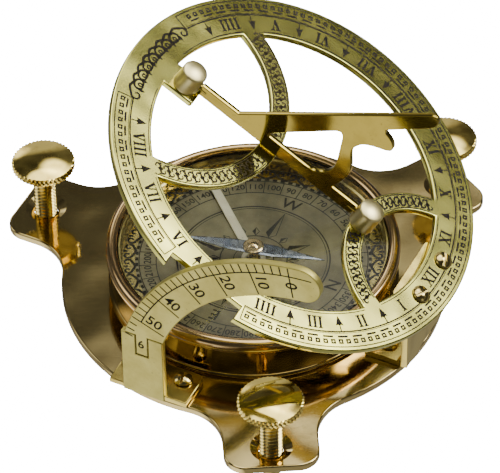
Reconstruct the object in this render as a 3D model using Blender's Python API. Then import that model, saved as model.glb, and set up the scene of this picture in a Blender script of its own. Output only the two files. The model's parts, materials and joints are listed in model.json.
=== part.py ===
"""Garden sundial: an hour ring and its gnomon, hinged over a magnetic compass on a levelled plate.

Runs in Blender 4.5, from the text editor or with blender --background --python part.py.
Lengths are in millimetres up to the mesh, which is scaled to metres once, in add_piece.
The origin is the centre of the base plate's flat underside. +Z is up, +X points at the hour
ring's hinge and -Y at the latitude arc. The ring, the gnomon and the arc stand as set for use.
"""
import math

import bmesh
import bpy
from mathutils import Matrix

MM = 0.001
GAP = 0.2                       # seam between two pieces that touch
RUN = 0.1                       # radial clearance of a pin that turns
SMOOTH_ANGLE = math.radians(35)

# Base plate: a round plate with three ears, each ear with a levelling screw
PLATE_R = 54.0
PLATE_T = 2.4
EAR_ANGLES = (180.0, 60.0, -60.0)
EAR_TIP_R = 73.4
EAR_HALF_W = 13.0
EAR_CORNER_R = 6.0
EAR_FILLET_R = 14.0
SCREW_PITCH_R = 66.0

# Levelling screws
STEM_R = 3.3
STEM_CLEARANCE = 0.4            # around the stem in the ear's hole
STEM_BELOW = 6.6                # foot of the stem below the plate's underside
KNOB_R = 9.0
KNOB_TOP = 21.8
KNOB_T = 3.9
KNOB_FLUTES = 28
FLUTE_DEPTH = 0.4
SOCKET_ROOF = 1.4               # brass left above the stem in the knob
SINK_R = 5.8                    # countersunk mouth of the ear's hole

# Compass
BOWL_R = 40.0
BOWL_WALL = 1.6
BOWL_FLOOR = 1.6
BOWL_TOP = 15.4
LEDGE_Z = 7.4
LEDGE_R = 35.5
BEZEL_R = 41.0
BEZEL_INNER_R = 37.6
BEZEL_TOP = 16.4
BEZEL_SKIRT_Z = 12.6
DIAL_R = 38.1
DIAL_T = 0.8
GLASS_R = 38.1
GLASS_T = 1.3
SEAT_R = 36.6
SEAT_TOP = 14.1
NEEDLE_Z = 12.6
NEEDLE_T = 0.5
NEEDLE_HALF_L = 20.5
NEEDLE_HALF_W = 2.2
LEVER_ANGLE = 137.0
LEVER_HALF_W = 1.3
NEEDLE_ANGLE = 11.0             # degrees from +X, the dial's north
BOWL_SCREW_R = 24.0
BOWL_SCREW_ANGLES = (30.0, 150.0, 270.0)
BOWL_SCREW_HOLE_R = 1.45

# Hour ring hinge: axis along Y
HINGE_X = 52.9
HINGE_Z = 19.0
TILT = 30.0                     # ring's slope above the horizontal, degrees
KNUCKLE_R = 1.9
PIN_R = 0.9
BRACKET_HALF_W = 15.0
BRACKET_SCREW_Y = (-10.0, 10.0)
BRACKET_SCREW_INSET = 6.6       # from the hinge axis towards the bowl
KNUCKLE_EDGES = (3.6, 11.2)     # ends of the ring leaf's two knuckles along Y
BRACKET_T = 1.8
LEAF_T = 0.9
LEAF_REACH = 8.0                # ring leaf's end, from the hinge axis towards the ring's centre
LEAF_CORNER_R = 2.0
WEB_HALF_W = 1.5                # web between the ring leaf and each knuckle

# Hour ring, in its own plane: x towards the hinge, from the ring's centre
RING_TO_HINGE = 48.8
RING_LIFT = 4.2                 # ring's middle plane above the hinge axis
RING_R = 55.2
RING_INNER_R = 43.0
RING_T = 2.0
RING_CHAMFER = 0.5
WEST_ARC = (-40.6, 34.0, 28.2)  # centre x, outer radius, inner radius of the far curved bar
NOON_ARC = (45.0, 25.0, 19.4)   # the same for the curved bar beside the hinge
LUG_END_X = -33.2
LUG_HALF_W = 4.3
NOTCH_X = (-14.0, 9.0)
NOTCH_Y = -49.4
RING_SCREW_R = 47.9
RING_SCREW_ANGLE = 8.8

# Gnomon: its plane stands on the ring's meridian, and it turns in two posts
POST_X = (-38.0, 22.8)
POST_R = 3.6
POST_TOP = 8.2
SPIGOT_R = 1.5
GNOMON_T = 1.6
GNOMON_AXIS_Z = 3.6             # pivot axis above the ring's middle plane
ARM_Z = (1.6, 5.4)
TENON_R = 0.95
TENON_L = 2.2

# Latitude arc: a flat band in a plane of constant Y
ARC_Y = -53.5
ARC_CENTRE = (46.5, 8.9)
ARC_R = (49.4, 60.5)
ARC_T = 2.0
ARC_TIP_ANGLE = 6.0             # start of the rounded tip, from +Z towards -X
FOLD_Z = 24.6                   # line where the band meets its foot
ARC_AXIS_Z = 21.4
ARC_PIN_R = 0.5
FOOT_X = (-13.0, -0.6)
TONGUE_HALF_W = 1.7
TONGUE_END_Z = 17.8
FOOT_LEAF_X = (-17.4, 6.0)
FOOT_LEAF_Y = -42.6
FOOT_SCREW_X = (-14.7, 1.3)
FOOT_SCREW_Y = -46.6

# Small round-head screws
SCREW_SHANK_R = 1.25
SCREW_HEAD_R = 2.6
SCREW_HEAD_H = 1.5
SLOT_W = 0.7
SLOT_D = 0.6

COLOURS = {
    "polished_brass": ((0.83, 0.62, 0.24), 0.16, 1.0),
    "yellow_brass": ((0.78, 0.62, 0.26), 0.24, 1.0),
    "bezel_copper": ((0.62, 0.38, 0.19), 0.22, 1.0),
    "dial_silver": ((0.50, 0.48, 0.36), 0.38, 0.9),
    "blued_steel": ((0.24, 0.31, 0.42), 0.25, 1.0),
    "clear_glass": ((0.86, 0.93, 0.93), 0.04, 0.0),
}


def clear_scene():
    for thing in list(bpy.context.scene.objects):
        bpy.data.objects.remove(thing, do_unlink=True)


def make_materials():
    made = {}
    for name, (colour, roughness, metallic) in COLOURS.items():
        material = bpy.data.materials.new(name)
        material.use_nodes = True
        shader = material.node_tree.nodes["Principled BSDF"]
        shader.inputs["Base Color"].default_value = (*colour, 1.0)
        shader.inputs["Roughness"].default_value = roughness
        shader.inputs["Metallic"].default_value = metallic
        made[name] = material
    made["clear_glass"].node_tree.nodes["Principled BSDF"].inputs["Alpha"].default_value = 0.35
    return made


# ---------------------------------------------------------------- outlines

def arc(centre, radius, start, end, steps):
    """Points from start to end, in degrees, both ends included."""
    points = []
    for i in range(steps + 1):
        angle = math.radians(start + (end - start) * i / steps)
        points.append((centre[0] + radius * math.cos(angle), centre[1] + radius * math.sin(angle)))
    return points


def circle(centre, radius, steps):
    return arc(centre, radius, 0.0, 360.0, steps)[:-1]


def joined(*runs):
    """One closed outline from several runs, without doubled points."""
    points = []
    for run in runs:
        for point in run:
            if not points or math.dist(point, points[-1]) > 1e-4:
                points.append(point)
    if math.dist(points[0], points[-1]) < 1e-4:
        points.pop()
    return points


def turned_about(points, degrees):
    c = math.cos(math.radians(degrees))
    s = math.sin(math.radians(degrees))
    return [(x * c - y * s, x * s + y * c) for x, y in points]


def meeting_angle(radius, other_x, other_radius):
    """Angle at the origin of the point where two circles cross above the x axis."""
    x = (radius ** 2 + other_x ** 2 - other_radius ** 2) / (2 * other_x)
    return math.degrees(math.acos(x / radius))


def angle_from(centre_x, radius, angle):
    """The same crossing point's angle, seen from the other circle's centre."""
    x = radius * math.cos(math.radians(angle)) - centre_x
    y = radius * math.sin(math.radians(angle))
    return math.degrees(math.atan2(y, x))


def inset(points, distance):
    """Moves a closed outline to the left of its direction of travel by distance."""
    moved = []
    count = len(points)
    for i in range(count):
        ax, ay = points[i - 1]
        bx, by = points[i]
        cx, cy = points[(i + 1) % count]
        before = math.atan2(by - ay, bx - ax)
        after = math.atan2(cy - by, cx - bx)
        half = ((after - before + math.pi) % (2 * math.pi) - math.pi) / 2
        normal = before + half + math.pi / 2
        reach = distance / max(math.cos(half), 0.35)
        moved.append((bx + reach * math.cos(normal), by + reach * math.sin(normal)))
    return moved


def chamfered(thickness, chamfer, base=0.0):
    """Edge profile of a plate: (height, inset) from the bottom face to the top face."""
    return [(base, chamfer), (base + chamfer, 0.0),
            (base + thickness - chamfer, 0.0), (base + thickness, chamfer)]


# ---------------------------------------------------------------- solids

def plate_mesh(loops):
    """A flat plate from (outline, profile) pairs: the outer outline runs anticlockwise, holes
    clockwise, and each profile gives (height, inset) steps from the bottom face to the top."""
    mesh = bmesh.new()
    caps = ([], [])
    for outline, profile in loops:
        rings = []
        for height, distance in profile:
            shifted = inset(outline, distance) if distance else outline
            rings.append([mesh.verts.new((x, y, height)) for x, y in shifted])
        for low, high in zip(rings, rings[1:]):
            for i in range(len(low)):
                j = (i + 1) % len(low)
                mesh.faces.new((low[i], low[j], high[j], high[i]))
        for cap, ring in zip(caps, (rings[0], rings[-1])):
            for i in range(len(ring)):
                cap.append(mesh.edges.get((ring[i], ring[(i + 1) % len(ring)])))
    for cap, up in zip(caps, (-1.0, 1.0)):
        bmesh.ops.triangle_fill(mesh, use_beauty=True, edges=cap, normal=(0.0, 0.0, up))
    bmesh.ops.recalc_face_normals(mesh, faces=mesh.faces)
    return mesh


def turned_mesh(profile, steps=64):
    """A turned solid from a closed (radius, height) profile."""
    mesh = bmesh.new()
    verts = [mesh.verts.new((radius, 0.0, height)) for radius, height in profile]
    edges = []
    for i in range(len(verts)):
        j = (i + 1) % len(verts)
        if profile[i][0] > 0.0 or profile[j][0] > 0.0:
            edges.append(mesh.edges.new((verts[i], verts[j])))
    bmesh.ops.spin(mesh, geom=verts + edges, cent=(0, 0, 0), axis=(0, 0, 1),
                   angle=2 * math.pi, steps=steps, use_merge=True)
    bmesh.ops.remove_doubles(mesh, verts=mesh.verts, dist=1e-4)
    bmesh.ops.recalc_face_normals(mesh, faces=mesh.faces)
    return mesh


def box_mesh(low, high):
    mesh = bmesh.new()
    bmesh.ops.create_cube(mesh, size=1.0)
    size = [b - a for a, b in zip(low, high)]
    middle = [(a + b) / 2 for a, b in zip(low, high)]
    bmesh.ops.scale(mesh, vec=size, verts=mesh.verts)
    bmesh.ops.translate(mesh, vec=middle, verts=mesh.verts)
    return mesh


def rod_mesh(radius, start, end, along="Z", centre=(0.0, 0.0), steps=32):
    """A plain rod along one axis; centre is its place in the other two, in X, Y, Z order."""
    mesh = bmesh.new()
    bmesh.ops.create_cone(mesh, cap_ends=True, segments=steps, radius1=radius, radius2=radius,
                          depth=end - start)
    middle = (start + end) / 2
    if along == "X":
        bmesh.ops.rotate(mesh, verts=mesh.verts, matrix=Matrix.Rotation(math.pi / 2, 3, "Y"))
        place = (middle, centre[0], centre[1])
    elif along == "Y":
        bmesh.ops.rotate(mesh, verts=mesh.verts, matrix=Matrix.Rotation(math.pi / 2, 3, "X"))
        place = (centre[0], middle, centre[1])
    else:
        place = (centre[0], centre[1], middle)
    bmesh.ops.translate(mesh, vec=place, verts=mesh.verts)
    return mesh


def add_object(name, mesh):
    bmesh.ops.scale(mesh, vec=(MM, MM, MM), verts=mesh.verts)
    data = bpy.data.meshes.new(name)
    mesh.to_mesh(data)
    mesh.free()
    thing = bpy.data.objects.new(name, data)
    bpy.context.scene.collection.objects.link(thing)
    return thing


def add_piece(name, mesh, material, parent=None, location=(0.0, 0.0, 0.0)):
    piece = add_object(name, mesh)
    piece.data.materials.append(material)
    piece.data.shade_smooth()
    piece.data.set_sharp_from_angle(angle=SMOOTH_ANGLE)
    piece.location = [value * MM for value in location]
    piece.parent = parent
    return piece


def add_axis(name, location, rotation=(0.0, 0.0, 0.0), parent=None):
    empty = bpy.data.objects.new(name, None)
    empty.empty_display_size = 0.01
    bpy.context.scene.collection.objects.link(empty)
    empty.location = [value * MM for value in location]
    empty.rotation_euler = [math.radians(value) for value in rotation]
    empty.parent = parent
    return empty


def combine(piece, mesh, operation):
    """Adds a Boolean that unites the piece with a hidden solid, or cuts the solid out of it."""
    tool = add_object(piece.name + "_tool", mesh)
    tool.parent = piece
    tool.hide_render = True
    tool.display_type = "WIRE"
    change = piece.modifiers.new("cut" if operation == "DIFFERENCE" else "join", "BOOLEAN")
    change.operation = operation
    change.object = tool
    change.solver = "EXACT"


def cut(piece, mesh):
    combine(piece, mesh, "DIFFERENCE")


def join(piece, mesh):
    combine(piece, mesh, "UNION")


def polar(radius, degrees):
    angle = math.radians(degrees)
    return (radius * math.cos(angle), radius * math.sin(angle))


# ---------------------------------------------------------------- base and levelling screws

def ear_run():
    """One ear and the fillets at its sides, from the plate's circle back to the circle."""
    across = EAR_HALF_W + EAR_FILLET_R
    along = math.sqrt((PLATE_R + EAR_FILLET_R) ** 2 - across ** 2)
    spread = math.degrees(math.atan2(across, along))
    corner_x = EAR_TIP_R - EAR_CORNER_R
    corner_y = EAR_HALF_W - EAR_CORNER_R
    first = arc((along, -across), EAR_FILLET_R, 180.0 - spread, 90.0, 7)
    corner = arc((corner_x, -corner_y), EAR_CORNER_R, -90.0, 0.0, 5)
    far_corner = arc((corner_x, corner_y), EAR_CORNER_R, 0.0, 90.0, 5)
    last = arc((along, across), EAR_FILLET_R, 270.0, 180.0 + spread, 7)
    return first + corner + far_corner + last, spread


def base_plate(material):
    run, spread = ear_run()
    outline = []
    for k in range(3):
        angle = -60.0 + 120.0 * k
        outline.append(turned_about(run, angle))
        outline.append(arc((0, 0), PLATE_R, angle + spread, angle + 120.0 - spread, 16))
    loops = [(joined(*outline), chamfered(PLATE_T, 0.4))]
    sink = SINK_R - STEM_R - STEM_CLEARANCE
    for angle in EAR_ANGLES:
        hole = circle(polar(SCREW_PITCH_R, angle), STEM_R + STEM_CLEARANCE, 28)[::-1]
        loops.append((hole, [(0.0, 0.0), (PLATE_T - sink, 0.0), (PLATE_T, sink)]))
    for angle in BOWL_SCREW_ANGLES:
        hole = circle(polar(BOWL_SCREW_R, angle), 1.6, 16)[::-1]
        loops.append((hole, [(0.0, 1.4), (1.4, 0.0), (PLATE_T, 0.0)]))
    for x in FOOT_SCREW_X:
        hole = circle((x, FOOT_SCREW_Y), SCREW_SHANK_R + GAP, 16)[::-1]
        loops.append((hole, [(0.0, 0.0), (PLATE_T, 0.0)]))
    for y in BRACKET_SCREW_Y:
        hole = circle((bracket_screw_x(), y), SCREW_SHANK_R + GAP, 16)[::-1]
        loops.append((hole, [(0.0, 0.0), (PLATE_T, 0.0)]))
    add_piece("base_plate", plate_mesh(loops), material)


def levelling_screw(number, angle, brass):
    """A screw stem with its foot, and the fluted knob on its top."""
    axis = add_axis(f"levelling_axis_{number}", (*polar(SCREW_PITCH_R, angle), 0.0))
    socket_z = KNOB_TOP - SOCKET_ROOF
    foot = -STEM_BELOW
    profile = [(0.0, foot), (STEM_R - 0.8, foot), (STEM_R, foot + 0.8),
               (STEM_R, KNOB_TOP - KNOB_T - 0.9), (STEM_R - 1.0, KNOB_TOP - KNOB_T - GAP),
               (STEM_R - 1.0, socket_z - GAP), (0.0, socket_z - GAP)]
    add_piece(f"levelling_stem_{number}", turned_mesh(profile, 28), brass, axis)
    low = KNOB_TOP - KNOB_T
    core = [(0.0, low), (KNOB_R - 1.6, low), (KNOB_R - 0.7, low + 0.5), (KNOB_R - 0.7, low + 3.0),
            (KNOB_R - 1.9, low + 3.5), (KNOB_R - 5.0, KNOB_TOP - 0.08),
            (0.0, KNOB_TOP)]
    piece = add_piece(f"levelling_knob_{number}", turned_mesh(core, KNOB_FLUTES), brass, axis)
    outline = []
    step = 360.0 / KNOB_FLUTES
    for k in range(KNOB_FLUTES):
        outline.append(polar(KNOB_R, k * step))
        outline.append(polar(KNOB_R - FLUTE_DEPTH, (k + 0.5) * step))
    rim = [(low + 0.55, 0.2), (low + 0.75, 0.0), (low + 2.75, 0.0), (low + 2.95, 0.2)]
    join(piece, plate_mesh([(outline, rim)]))
    cut(piece, rod_mesh(STEM_R - 1.0 + GAP, low - 1.0, socket_z, steps=32))


# ---------------------------------------------------------------- compass

def compass(materials):
    brass = materials["polished_brass"]
    low = PLATE_T + GAP
    inner = BOWL_R - BOWL_WALL
    bowl = [(0.0, low), (BOWL_R + 0.6, low), (BOWL_R + 0.6, low + 0.9), (BOWL_R, low + 1.5),
            (BOWL_R, BEZEL_SKIRT_Z - 0.3), (BOWL_R - 0.3, BEZEL_SKIRT_Z), (BOWL_R - 0.3, BOWL_TOP),
            (inner, BOWL_TOP), (inner, LEDGE_Z), (LEDGE_R, LEDGE_Z), (LEDGE_R, low + BOWL_FLOOR),
            (0.0, low + BOWL_FLOOR)]
    piece = add_piece("compass_bowl", turned_mesh(bowl, 72), brass)
    for angle in BOWL_SCREW_ANGLES:
        place = polar(BOWL_SCREW_R, angle)
        cut(piece, rod_mesh(BOWL_SCREW_HOLE_R, low - 1.0, low + BOWL_FLOOR + 1.0, centre=place,
                            steps=24))
    skirt = BOWL_R - 0.3 + GAP
    bezel = [(skirt, BEZEL_SKIRT_Z), (BEZEL_R - 0.2, BEZEL_SKIRT_Z), (BEZEL_R, BEZEL_SKIRT_Z + 0.2),
             (BEZEL_R, BEZEL_TOP - 1.0), (BEZEL_R - 0.35, BEZEL_TOP - 0.3), (BEZEL_R - 1.0, BEZEL_TOP),
             (BEZEL_INNER_R + 1.0, BEZEL_TOP), (BEZEL_INNER_R + 0.3, BEZEL_TOP - 0.25),
             (BEZEL_INNER_R, BEZEL_TOP - 0.6), (BEZEL_INNER_R, BOWL_TOP + GAP),
             (skirt, BOWL_TOP + GAP)]
    add_piece("bezel_ring", turned_mesh(bezel, 72), materials["bezel_copper"])
    dial = [(1.6, LEDGE_Z + GAP), (DIAL_R, LEDGE_Z + GAP), (DIAL_R, LEDGE_Z + GAP + DIAL_T),
            (1.6, LEDGE_Z + GAP + DIAL_T)]
    add_piece("dial_plate", turned_mesh(dial, 72), materials["dial_silver"])
    dial_top = LEDGE_Z + GAP + DIAL_T
    seat = [(SEAT_R, dial_top + GAP), (inner - GAP, dial_top + GAP), (inner - GAP, SEAT_TOP),
            (SEAT_R + 0.5, SEAT_TOP), (SEAT_R + 0.5, SEAT_TOP - 1.6), (SEAT_R, SEAT_TOP - 2.0)]
    add_piece("glass_seat_ring", turned_mesh(seat, 72), materials["yellow_brass"])
    glass_z = SEAT_TOP + GAP
    glass = [(0.0, glass_z), (GLASS_R, glass_z), (GLASS_R, glass_z + GLASS_T - 0.2),
             (GLASS_R - 0.2, glass_z + GLASS_T), (0.0, glass_z + GLASS_T)]
    add_piece("glass_cover", turned_mesh(glass, 72), materials["clear_glass"])
    pivot = [(0.0, low + BOWL_FLOOR + GAP), (3.5, low + BOWL_FLOOR + GAP), (3.5, LEDGE_Z - GAP),
             (1.4, LEDGE_Z), (1.4, 9.6), (0.35, 10.2), (0.3, 12.8), (0.0, NEEDLE_Z + 0.6)]
    add_piece("needle_pivot", turned_mesh(pivot, 32), brass)


def compass_needle(materials):
    axis = add_axis("needle_axis", (0.0, 0.0, NEEDLE_Z), (0.0, 0.0, NEEDLE_ANGLE))
    half_l, half_w = NEEDLE_HALF_L, NEEDLE_HALF_W
    lozenge = [(half_l, 0.0), (6.0, half_w), (-6.0, half_w), (-half_l, 0.0), (-6.0, -half_w),
               (6.0, -half_w)]
    hole = circle((0, 0), 1.3, 24)[::-1]
    needle = plate_mesh([(lozenge, chamfered(NEEDLE_T, 0.12)), (hole, [(0.0, 0.0), (NEEDLE_T, 0.0)])])
    add_piece("compass_needle", needle, materials["blued_steel"], axis)
    top = NEEDLE_T + GAP
    cap = [(0.6, 0.0), (1.1, 0.0), (1.1, top), (2.9, top), (2.9, top + 0.2), (2.4, top + 0.4),
           (1.2, top + 0.4), (0.8, top + 0.7), (0.0, top + 0.8), (0.0, 0.9), (0.6, 0.6)]
    add_piece("needle_cap", turned_mesh(cap, 32), materials["yellow_brass"], axis)


def needle_lever(material):
    """The thin arrest lever on the dial, from the seat ring to an eye around the pivot."""
    low = LEDGE_Z + GAP + DIAL_T + GAP
    eye_r = 3.4
    side = math.degrees(math.asin(LEVER_HALF_W / eye_r))
    end = SEAT_R - GAP
    outline = joined(arc((0, 0), eye_r, side, 360.0 - side, 24),
                     [(end, -LEVER_HALF_W), (end, LEVER_HALF_W)])
    hole = circle((0, 0), 2.0, 20)[::-1]
    sides = [(low, 0.0), (low + 0.5, 0.0)]
    lever = plate_mesh([(turned_about(outline, LEVER_ANGLE), sides), (hole, sides)])
    add_piece("needle_lever", lever, material)


# ---------------------------------------------------------------- screws

def round_screw(name, material, location, length, parent=None, turn=0.0):
    """A round-head slotted screw, its head's seat at the location and its shank below."""
    head = [(SCREW_HEAD_R, 0.0), (SCREW_HEAD_R, 0.3), (SCREW_HEAD_R * 0.86, 0.85),
            (SCREW_HEAD_R * 0.55, 1.3), (0.0, SCREW_HEAD_H)]
    shank = [(0.0, -length), (SCREW_SHANK_R - 0.3, -length), (SCREW_SHANK_R, 0.3 - length),
             (SCREW_SHANK_R, 0.0)]
    piece = add_piece(name, turned_mesh(shank + head, 20), material, parent, location)
    slot = box_mesh((-4.0, -SLOT_W / 2, SCREW_HEAD_H - SLOT_D), (4.0, SLOT_W / 2, SCREW_HEAD_H + 1.0))
    bmesh.ops.rotate(slot, verts=slot.verts, matrix=Matrix.Rotation(math.radians(turn), 3, "Z"))
    cut(piece, slot)


def bowl_screws(material):
    """Countersunk screws that hold the bowl to the plate from below."""
    top = PLATE_T + GAP + BOWL_FLOOR + 0.6
    profile = [(0.0, 0.1), (2.7, 0.1), (1.25, 1.5), (1.25, top), (0.0, top)]
    for number, angle in enumerate(BOWL_SCREW_ANGLES, 1):
        place = (*polar(BOWL_SCREW_R, angle), 0.0)
        piece = add_piece(f"bowl_screw_{number}", turned_mesh(profile, 20), material, None, place)
        cut(piece, box_mesh((-4.0, -SLOT_W / 2, -1.0), (4.0, SLOT_W / 2, 0.1 + SLOT_D)))


# ---------------------------------------------------------------- ring hinge

def bracket_screw_x():
    return HINGE_X - BRACKET_SCREW_INSET


def hinge_bracket(material):
    """The angle bracket that carries the ring: a leaf on the plate, a wall and three knuckles."""
    low = PLATE_T + GAP
    half = BRACKET_HALF_W
    wall = HINGE_X - BRACKET_T / 2
    side = [(BOWL_R + 1.2, low), (wall + BRACKET_T, low), (wall + BRACKET_T, HINGE_Z),
            (wall, HINGE_Z), (wall, low + BRACKET_T + 1.2), (wall - 1.2, low + BRACKET_T),
            (BOWL_R + 1.2, low + BRACKET_T)]
    body = plate_mesh([(side, [(-half, 0.0), (half, 0.0)])])
    bmesh.ops.rotate(body, verts=body.verts, matrix=Matrix.Rotation(math.pi / 2, 3, "X"))
    piece = add_piece("hinge_bracket", body, material)
    barrel = rod_mesh(KNUCKLE_R, -half, half, "Y", (HINGE_X, HINGE_Z))
    join(piece, barrel)
    inner, outer = KNUCKLE_EDGES
    for y0, y1 in ((-outer - GAP, -inner + GAP), (inner - GAP, outer + GAP)):
        cut(piece, box_mesh((HINGE_X - 5.0, y0, HINGE_Z - KNUCKLE_R - GAP - 0.3),
                            (HINGE_X + 5.0, y1, HINGE_Z + 5.0)))
    cut(piece, rod_mesh(PIN_R + RUN, -half - 1.0, half + 1.0, "Y", (HINGE_X, HINGE_Z)))
    for y in BRACKET_SCREW_Y:
        cut(piece, rod_mesh(SCREW_SHANK_R + GAP, low - 1.0, low + BRACKET_T + 1.0,
                            centre=(bracket_screw_x(), y), steps=24))
    for number, y in enumerate(BRACKET_SCREW_Y, 1):
        round_screw(f"bracket_screw_{number}", material, (bracket_screw_x(), y, low + BRACKET_T + GAP),
                    BRACKET_T + GAP + PLATE_T, turn=35.0 * number)


def hinge_pin(material):
    half = BRACKET_HALF_W + 0.4
    profile = [(0.0, -half), (PIN_R - 0.3, -half), (PIN_R, -half + 0.3), (PIN_R, half - 0.3),
               (PIN_R - 0.3, half), (0.0, half)]
    pin = turned_mesh(profile, 32)
    bmesh.ops.rotate(pin, verts=pin.verts, matrix=Matrix.Rotation(math.pi / 2, 3, "X"))
    add_piece("hinge_pin", pin, material, None, (HINGE_X, 0.0, HINGE_Z))


def ring_hinge_leaf(material, axis):
    """The leaf under the ring, with two knuckles about the hinge pin."""
    top = RING_LIFT - RING_T / 2 - GAP
    inner, outer = KNUCKLE_EDGES
    half = outer + 0.6
    corner_x = LEAF_CORNER_R - LEAF_REACH
    corner_y = half - LEAF_CORNER_R
    outline = joined(arc((corner_x, corner_y), LEAF_CORNER_R, 90.0, 180.0, 6),
                     arc((corner_x, -corner_y), LEAF_CORNER_R, 180.0, 270.0, 6),
                     [(LEAF_CORNER_R, -half), (LEAF_CORNER_R, half)])
    body = plate_mesh([(outline, [(top - LEAF_T, 0.0), (top, 0.0)])])
    piece = add_piece("ring_hinge_leaf", body, material, axis)
    for y0, y1 in ((-outer, -inner), (inner, outer)):
        knuckle = rod_mesh(KNUCKLE_R, y0, y1, "Y", (0.0, 0.0))
        join(piece, knuckle)
        join(piece, box_mesh((-WEB_HALF_W, y0 + 0.3, 0.4), (WEB_HALF_W, y1 - 0.3, top - LEAF_T / 2)))
        cut(piece, rod_mesh(PIN_R + RUN, y0 - 0.5, y1 + 0.5, "Y", (0.0, 0.0)))
    for side in (-1.0, 1.0):
        place = ring_screw_place(side)
        cut(piece, rod_mesh(SCREW_SHANK_R + GAP, top - LEAF_T - 0.15, top + 1.0,
                            centre=place, steps=24))


def ring_screw_place(side):
    x, y = polar(RING_SCREW_R, RING_SCREW_ANGLE * side)
    return (x - RING_TO_HINGE, y)


# ---------------------------------------------------------------- hour ring

def far_window():
    """Window between the far side of the ring, its lug and the far curved bar."""
    centre_x, _, inner = WEST_ARC
    angle = meeting_angle(RING_INNER_R, centre_x, inner)
    own = angle_from(centre_x, RING_INNER_R, angle)
    lug = 180.0 - math.degrees(math.asin(LUG_HALF_W / RING_INNER_R))
    return joined(arc((centre_x, 0), inner, -own, own, 26),
                  arc((0, 0), RING_INNER_R, angle, lug, 12),
                  [(LUG_END_X, LUG_HALF_W), (LUG_END_X, -LUG_HALF_W)],
                  arc((0, 0), RING_INNER_R, 360.0 - lug, 360.0 - angle, 12))


def middle_window():
    far_x, far_r, _ = WEST_ARC
    near_x, near_r, _ = NOON_ARC
    far = meeting_angle(RING_INNER_R, far_x, far_r)
    near = meeting_angle(RING_INNER_R, near_x, near_r)
    far_own = angle_from(far_x, RING_INNER_R, far)
    near_own = angle_from(near_x, RING_INNER_R, near)
    return joined(arc((0, 0), RING_INNER_R, -far, -near, 26),
                  arc((near_x, 0), near_r, 360.0 - near_own, near_own, 22),
                  arc((0, 0), RING_INNER_R, near, far, 26),
                  arc((far_x, 0), far_r, far_own, -far_own, 26))


def near_window():
    centre_x, _, inner = NOON_ARC
    angle = meeting_angle(RING_INNER_R, centre_x, inner)
    own = angle_from(centre_x, RING_INNER_R, angle)
    return joined(arc((0, 0), RING_INNER_R, -angle, angle, 12),
                  arc((centre_x, 0), inner, own, 360.0 - own, 20))


def ring_rim():
    """Outer outline of the ring, with the notch that the latitude arc stands in."""
    low, high = NOTCH_X
    start = math.degrees(math.atan2(-math.sqrt(RING_R ** 2 - high ** 2), high))
    end = math.degrees(math.atan2(-math.sqrt(RING_R ** 2 - low ** 2), low)) + 360.0
    return joined(arc((0, 0), RING_R, start, end, 84), [(low, NOTCH_Y), (high, NOTCH_Y)])


def hour_ring(material, axis):
    edge = chamfered(RING_T, RING_CHAMFER, -RING_T / 2)
    loops = [(ring_rim(), edge)]
    loops += [(window[::-1], edge) for window in (far_window(), middle_window(), near_window())]
    plain = [(-RING_T / 2, 0.0), (RING_T / 2, 0.0)]
    for x in POST_X:
        loops.append((circle((x, 0), SPIGOT_R + GAP, 16)[::-1], plain))
    for side in (-1.0, 1.0):
        x, y = ring_screw_place(side)
        hole = circle((x + RING_TO_HINGE, y), SCREW_SHANK_R + GAP, 16)[::-1]
        loops.append((hole, plain))
    mesh = plate_mesh(loops)
    bmesh.ops.translate(mesh, vec=(-RING_TO_HINGE, 0.0, RING_LIFT), verts=mesh.verts)
    add_piece("hour_ring", mesh, material, axis)
    for number, side in enumerate((-1.0, 1.0), 1):
        x, y = ring_screw_place(side)
        seat = RING_LIFT + RING_T / 2 + GAP / 2
        round_screw(f"ring_screw_{number}", material, (x, y, seat), RING_T + GAP + LEAF_T - 0.1, axis,
                    turn=20.0)


# ---------------------------------------------------------------- gnomon

def gnomon_post(number, x, material, axis):
    """A domed post riveted through the ring, with a side hole for the gnomon's tenon."""
    low = RING_T / 2 + GAP
    dome = [(POST_R, POST_TOP - 1.7), (POST_R * 0.93, POST_TOP - 0.95),
            (POST_R * 0.72, POST_TOP - 0.4), (POST_R * 0.4, POST_TOP - 0.08), (0.0, POST_TOP)]
    profile = [(0.0, -RING_T / 2), (SPIGOT_R, -RING_T / 2), (SPIGOT_R, low), (POST_R, low)] + dome
    piece = add_piece(f"gnomon_post_{number}", turned_mesh(profile, 28), material, axis,
                      (x - RING_TO_HINGE, 0.0, RING_LIFT))
    inward = 1.0 if x < 0.0 else -1.0
    start, end = sorted((inward * (POST_R - TENON_L - 0.2), inward * (POST_R + 1.0)))
    cut(piece, rod_mesh(TENON_R + RUN, start, end, "X", (0.0, GNOMON_AXIS_Z), steps=24))


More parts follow.
